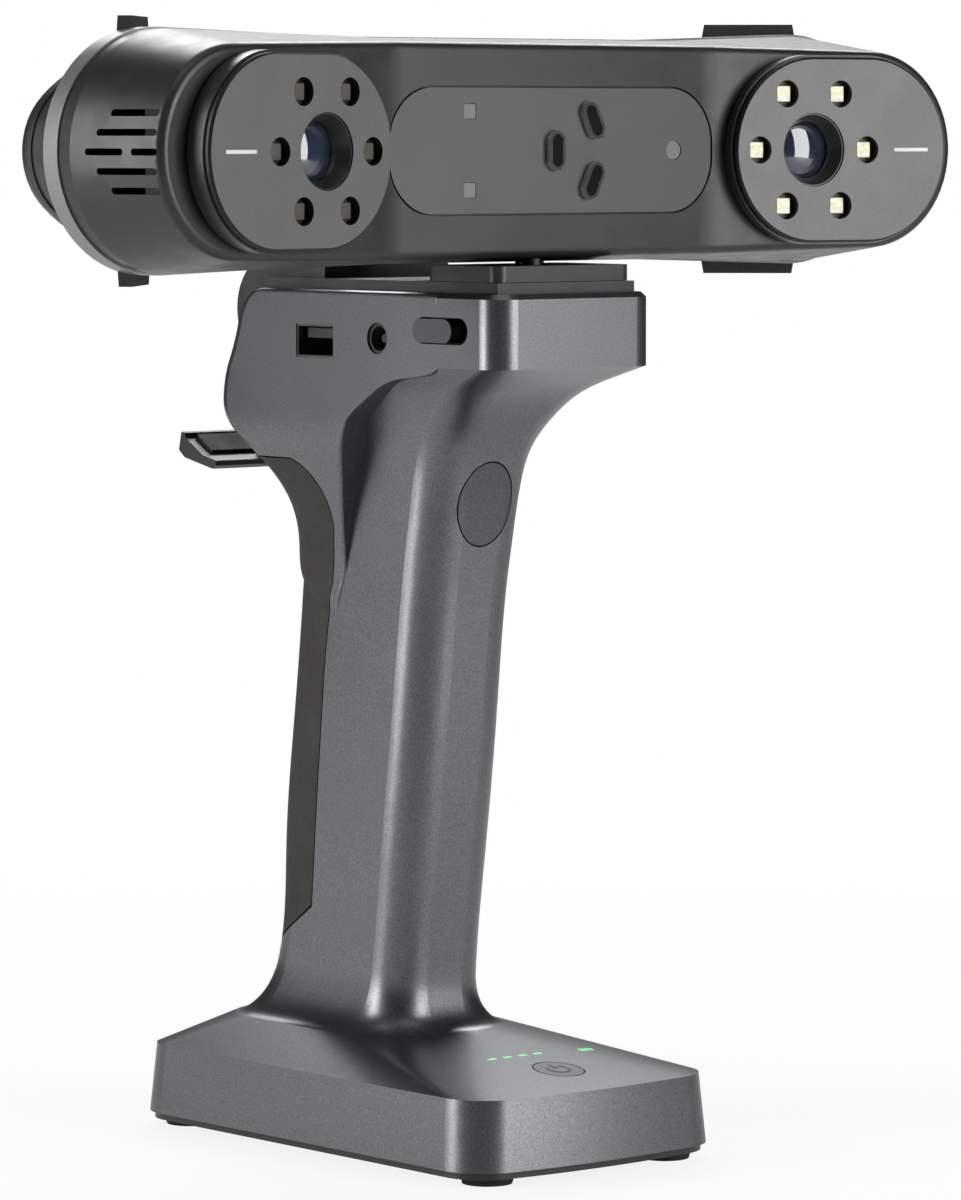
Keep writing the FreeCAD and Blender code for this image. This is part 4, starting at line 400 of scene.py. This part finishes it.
def main_face(node, axis):
    """A point on a node's largest face that looks nearly along an axis, and the face's normal."""
    piece = nodes[node]
    faces = [face for face in piece.data.polygons if face.normal.dot(axis) > FACE_COSINE]
    largest = max(faces, key=lambda face: face.area)
    out = piece.matrix_world.to_3x3() @ largest.normal
    return piece.matrix_world @ largest.center, out.normalized()


def middle_on_face(node, on_face, out):
    """The middle of a node's box, moved along out onto the plane through on_face."""
    low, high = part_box(node)
    centre = (low + high) / 2
    return centre + out * (on_face - centre).dot(out)


def plate_line(side, sign):
    """The line on a lens plate, that runs away from the lens and the middle of the head."""
    on_face, out = main_face(side + "_lens_plate", Vector((0, -1, 0)))
    outward = Vector((-sign * out.y, sign * out.x, 0))
    place = on_plane(middle_on_face(side + "_lens", on_face, out), outward, out)
    piece_from(bar(**PLATE_LINE), side + "_plate_mark", place, WHITE_INK, "handle")


def key_symbol():
    """The generic on-off symbol, on the power key."""
    on_face, out = main_face("power_button", Vector((0, 0, 1)))
    across = Vector((1, 0, 0)) - out * out.x
    place = on_plane(middle_on_face("power_button", on_face, out), across, out)
    piece_from(open_ring(**SYMBOL_RING), "key_symbol_ring", place, DARK_INK, "power")
    upright = place @ Matrix.Rotation(math.radians(90), 4, "Z")
    piece_from(bar(**SYMBOL_BAR), "key_symbol_bar", upright, DARK_INK, "power")


for side, sign in SIDES.items():
    plate_line(side, sign)
key_symbol()


# ---------------------------------------------------------------------------
# Camera
# ---------------------------------------------------------------------------
def add_camera():
    """The photograph's view, with a long lens and no shift."""
    data = bpy.data.cameras.new("camera")
    data.lens, data.sensor_fit = FOCAL_LENGTH, "VERTICAL"
    data.sensor_height, data.sensor_width = SENSOR, SENSOR
    data.clip_start, data.clip_end = CLIP_NEAR, CLIP_FAR
    camera = bpy.data.objects.new("camera", data)
    collection.objects.link(camera)
    back, across = Vector(CAMERA_BACK).normalized(), Vector(CAMERA_RIGHT)
    turned = Matrix((across, back.cross(across), back)).transposed().to_4x4()
    camera.matrix_world = Matrix.Translation(Vector(CAMERA_PLACE) * MM) @ turned
    scene.camera = camera


# ---------------------------------------------------------------------------
# Floor, world and lights
# ---------------------------------------------------------------------------
def add_floor():
    """A pale floor with the object's shadow, which the camera sees mixed with more and more white."""
    tree = Tree("floor").set(Roughness=0.9)
    mottle = tree.noise(size=0.3, detail=3)
    tree.join(tree.tint(mottle, low=grey(0.84), high=grey(0.88)), "Base Color")
    distance = tree.nodes.new("ShaderNodeVectorMath")
    distance.operation = "LENGTH"
    tree.links.new(tree.place, distance.inputs[0])
    whiteness = tree.spread(distance.outputs["Value"], **FLOOR_WHITE)
    share = tree.nodes.new("ShaderNodeMath")
    share.operation = "MULTIPLY"
    tree.links.new(tree.nodes.new("ShaderNodeLightPath").outputs["Is Camera Ray"], share.inputs[0])
    tree.links.new(whiteness, share.inputs[1])
    white = tree.nodes.new("ShaderNodeEmission")
    mix = tree.nodes.new("ShaderNodeMixShader")
    tree.links.new(share.outputs[0], mix.inputs["Fac"])
    tree.links.new(tree.shader.outputs[0], mix.inputs[1])
    tree.links.new(white.outputs[0], mix.inputs[2])
    tree.links.new(mix.outputs[0], tree.nodes["Material Output"].inputs["Surface"])
    mesh = bpy.data.meshes.new("floor")
    corners = [(x * FLOOR_HALF, y * FLOOR_HALF, 0) for x, y in ((-1, -1), (1, -1), (1, 1), (-1, 1))]
    mesh.from_pydata(corners, [], [(0, 1, 2, 3)])
    mesh.materials.append(tree.material)
    floor = bpy.data.objects.new("floor", mesh)
    collection.objects.link(floor)


def add_world():
    """Dim soft light all round; the camera sees white in its place, but reflections don't."""
    world = bpy.data.worlds.new("studio")
    world.use_nodes = True
    scene.world = world
    tree = world.node_tree
    soft = tree.nodes["Background"]
    soft.inputs["Color"].default_value = WORLD_COLOUR
    soft.inputs["Strength"].default_value = WORLD_STRENGTH
    white = tree.nodes.new("ShaderNodeBackground")
    white.inputs["Color"].default_value = (1, 1, 1, 1)
    path = tree.nodes.new("ShaderNodeLightPath")
    mix = tree.nodes.new("ShaderNodeMixShader")
    tree.links.new(path.outputs["Is Camera Ray"], mix.inputs["Fac"])
    tree.links.new(soft.outputs[0], mix.inputs[1])
    tree.links.new(white.outputs[0], mix.inputs[2])
    tree.links.new(mix.outputs[0], tree.nodes["World Output"].inputs["Surface"])


def add_light(name, azimuth, elevation, distance, width, height, power):
    """A softbox that faces the middle of the object; azimuth 0 is in front, growing towards +X."""
    data = bpy.data.lights.new(name, "AREA")
    data.shape, data.size, data.size_y, data.energy = "RECTANGLE", width, height, power
    light = bpy.data.objects.new(name, data)
    collection.objects.link(light)
    turn, lift = math.radians(azimuth), math.radians(elevation)
    flat = math.cos(lift)
    away = Vector((math.sin(turn) * flat, -math.cos(turn) * flat, math.sin(lift)))
    light.location = Vector(OBJECT_MIDDLE) + away * distance
    light.rotation_euler = away.to_track_quat("Z", "Y").to_euler()


add_camera()
add_floor()
add_world()
for softbox in SOFTBOXES:
    add_light(*softbox)

scene.view_settings.view_transform = "Standard"
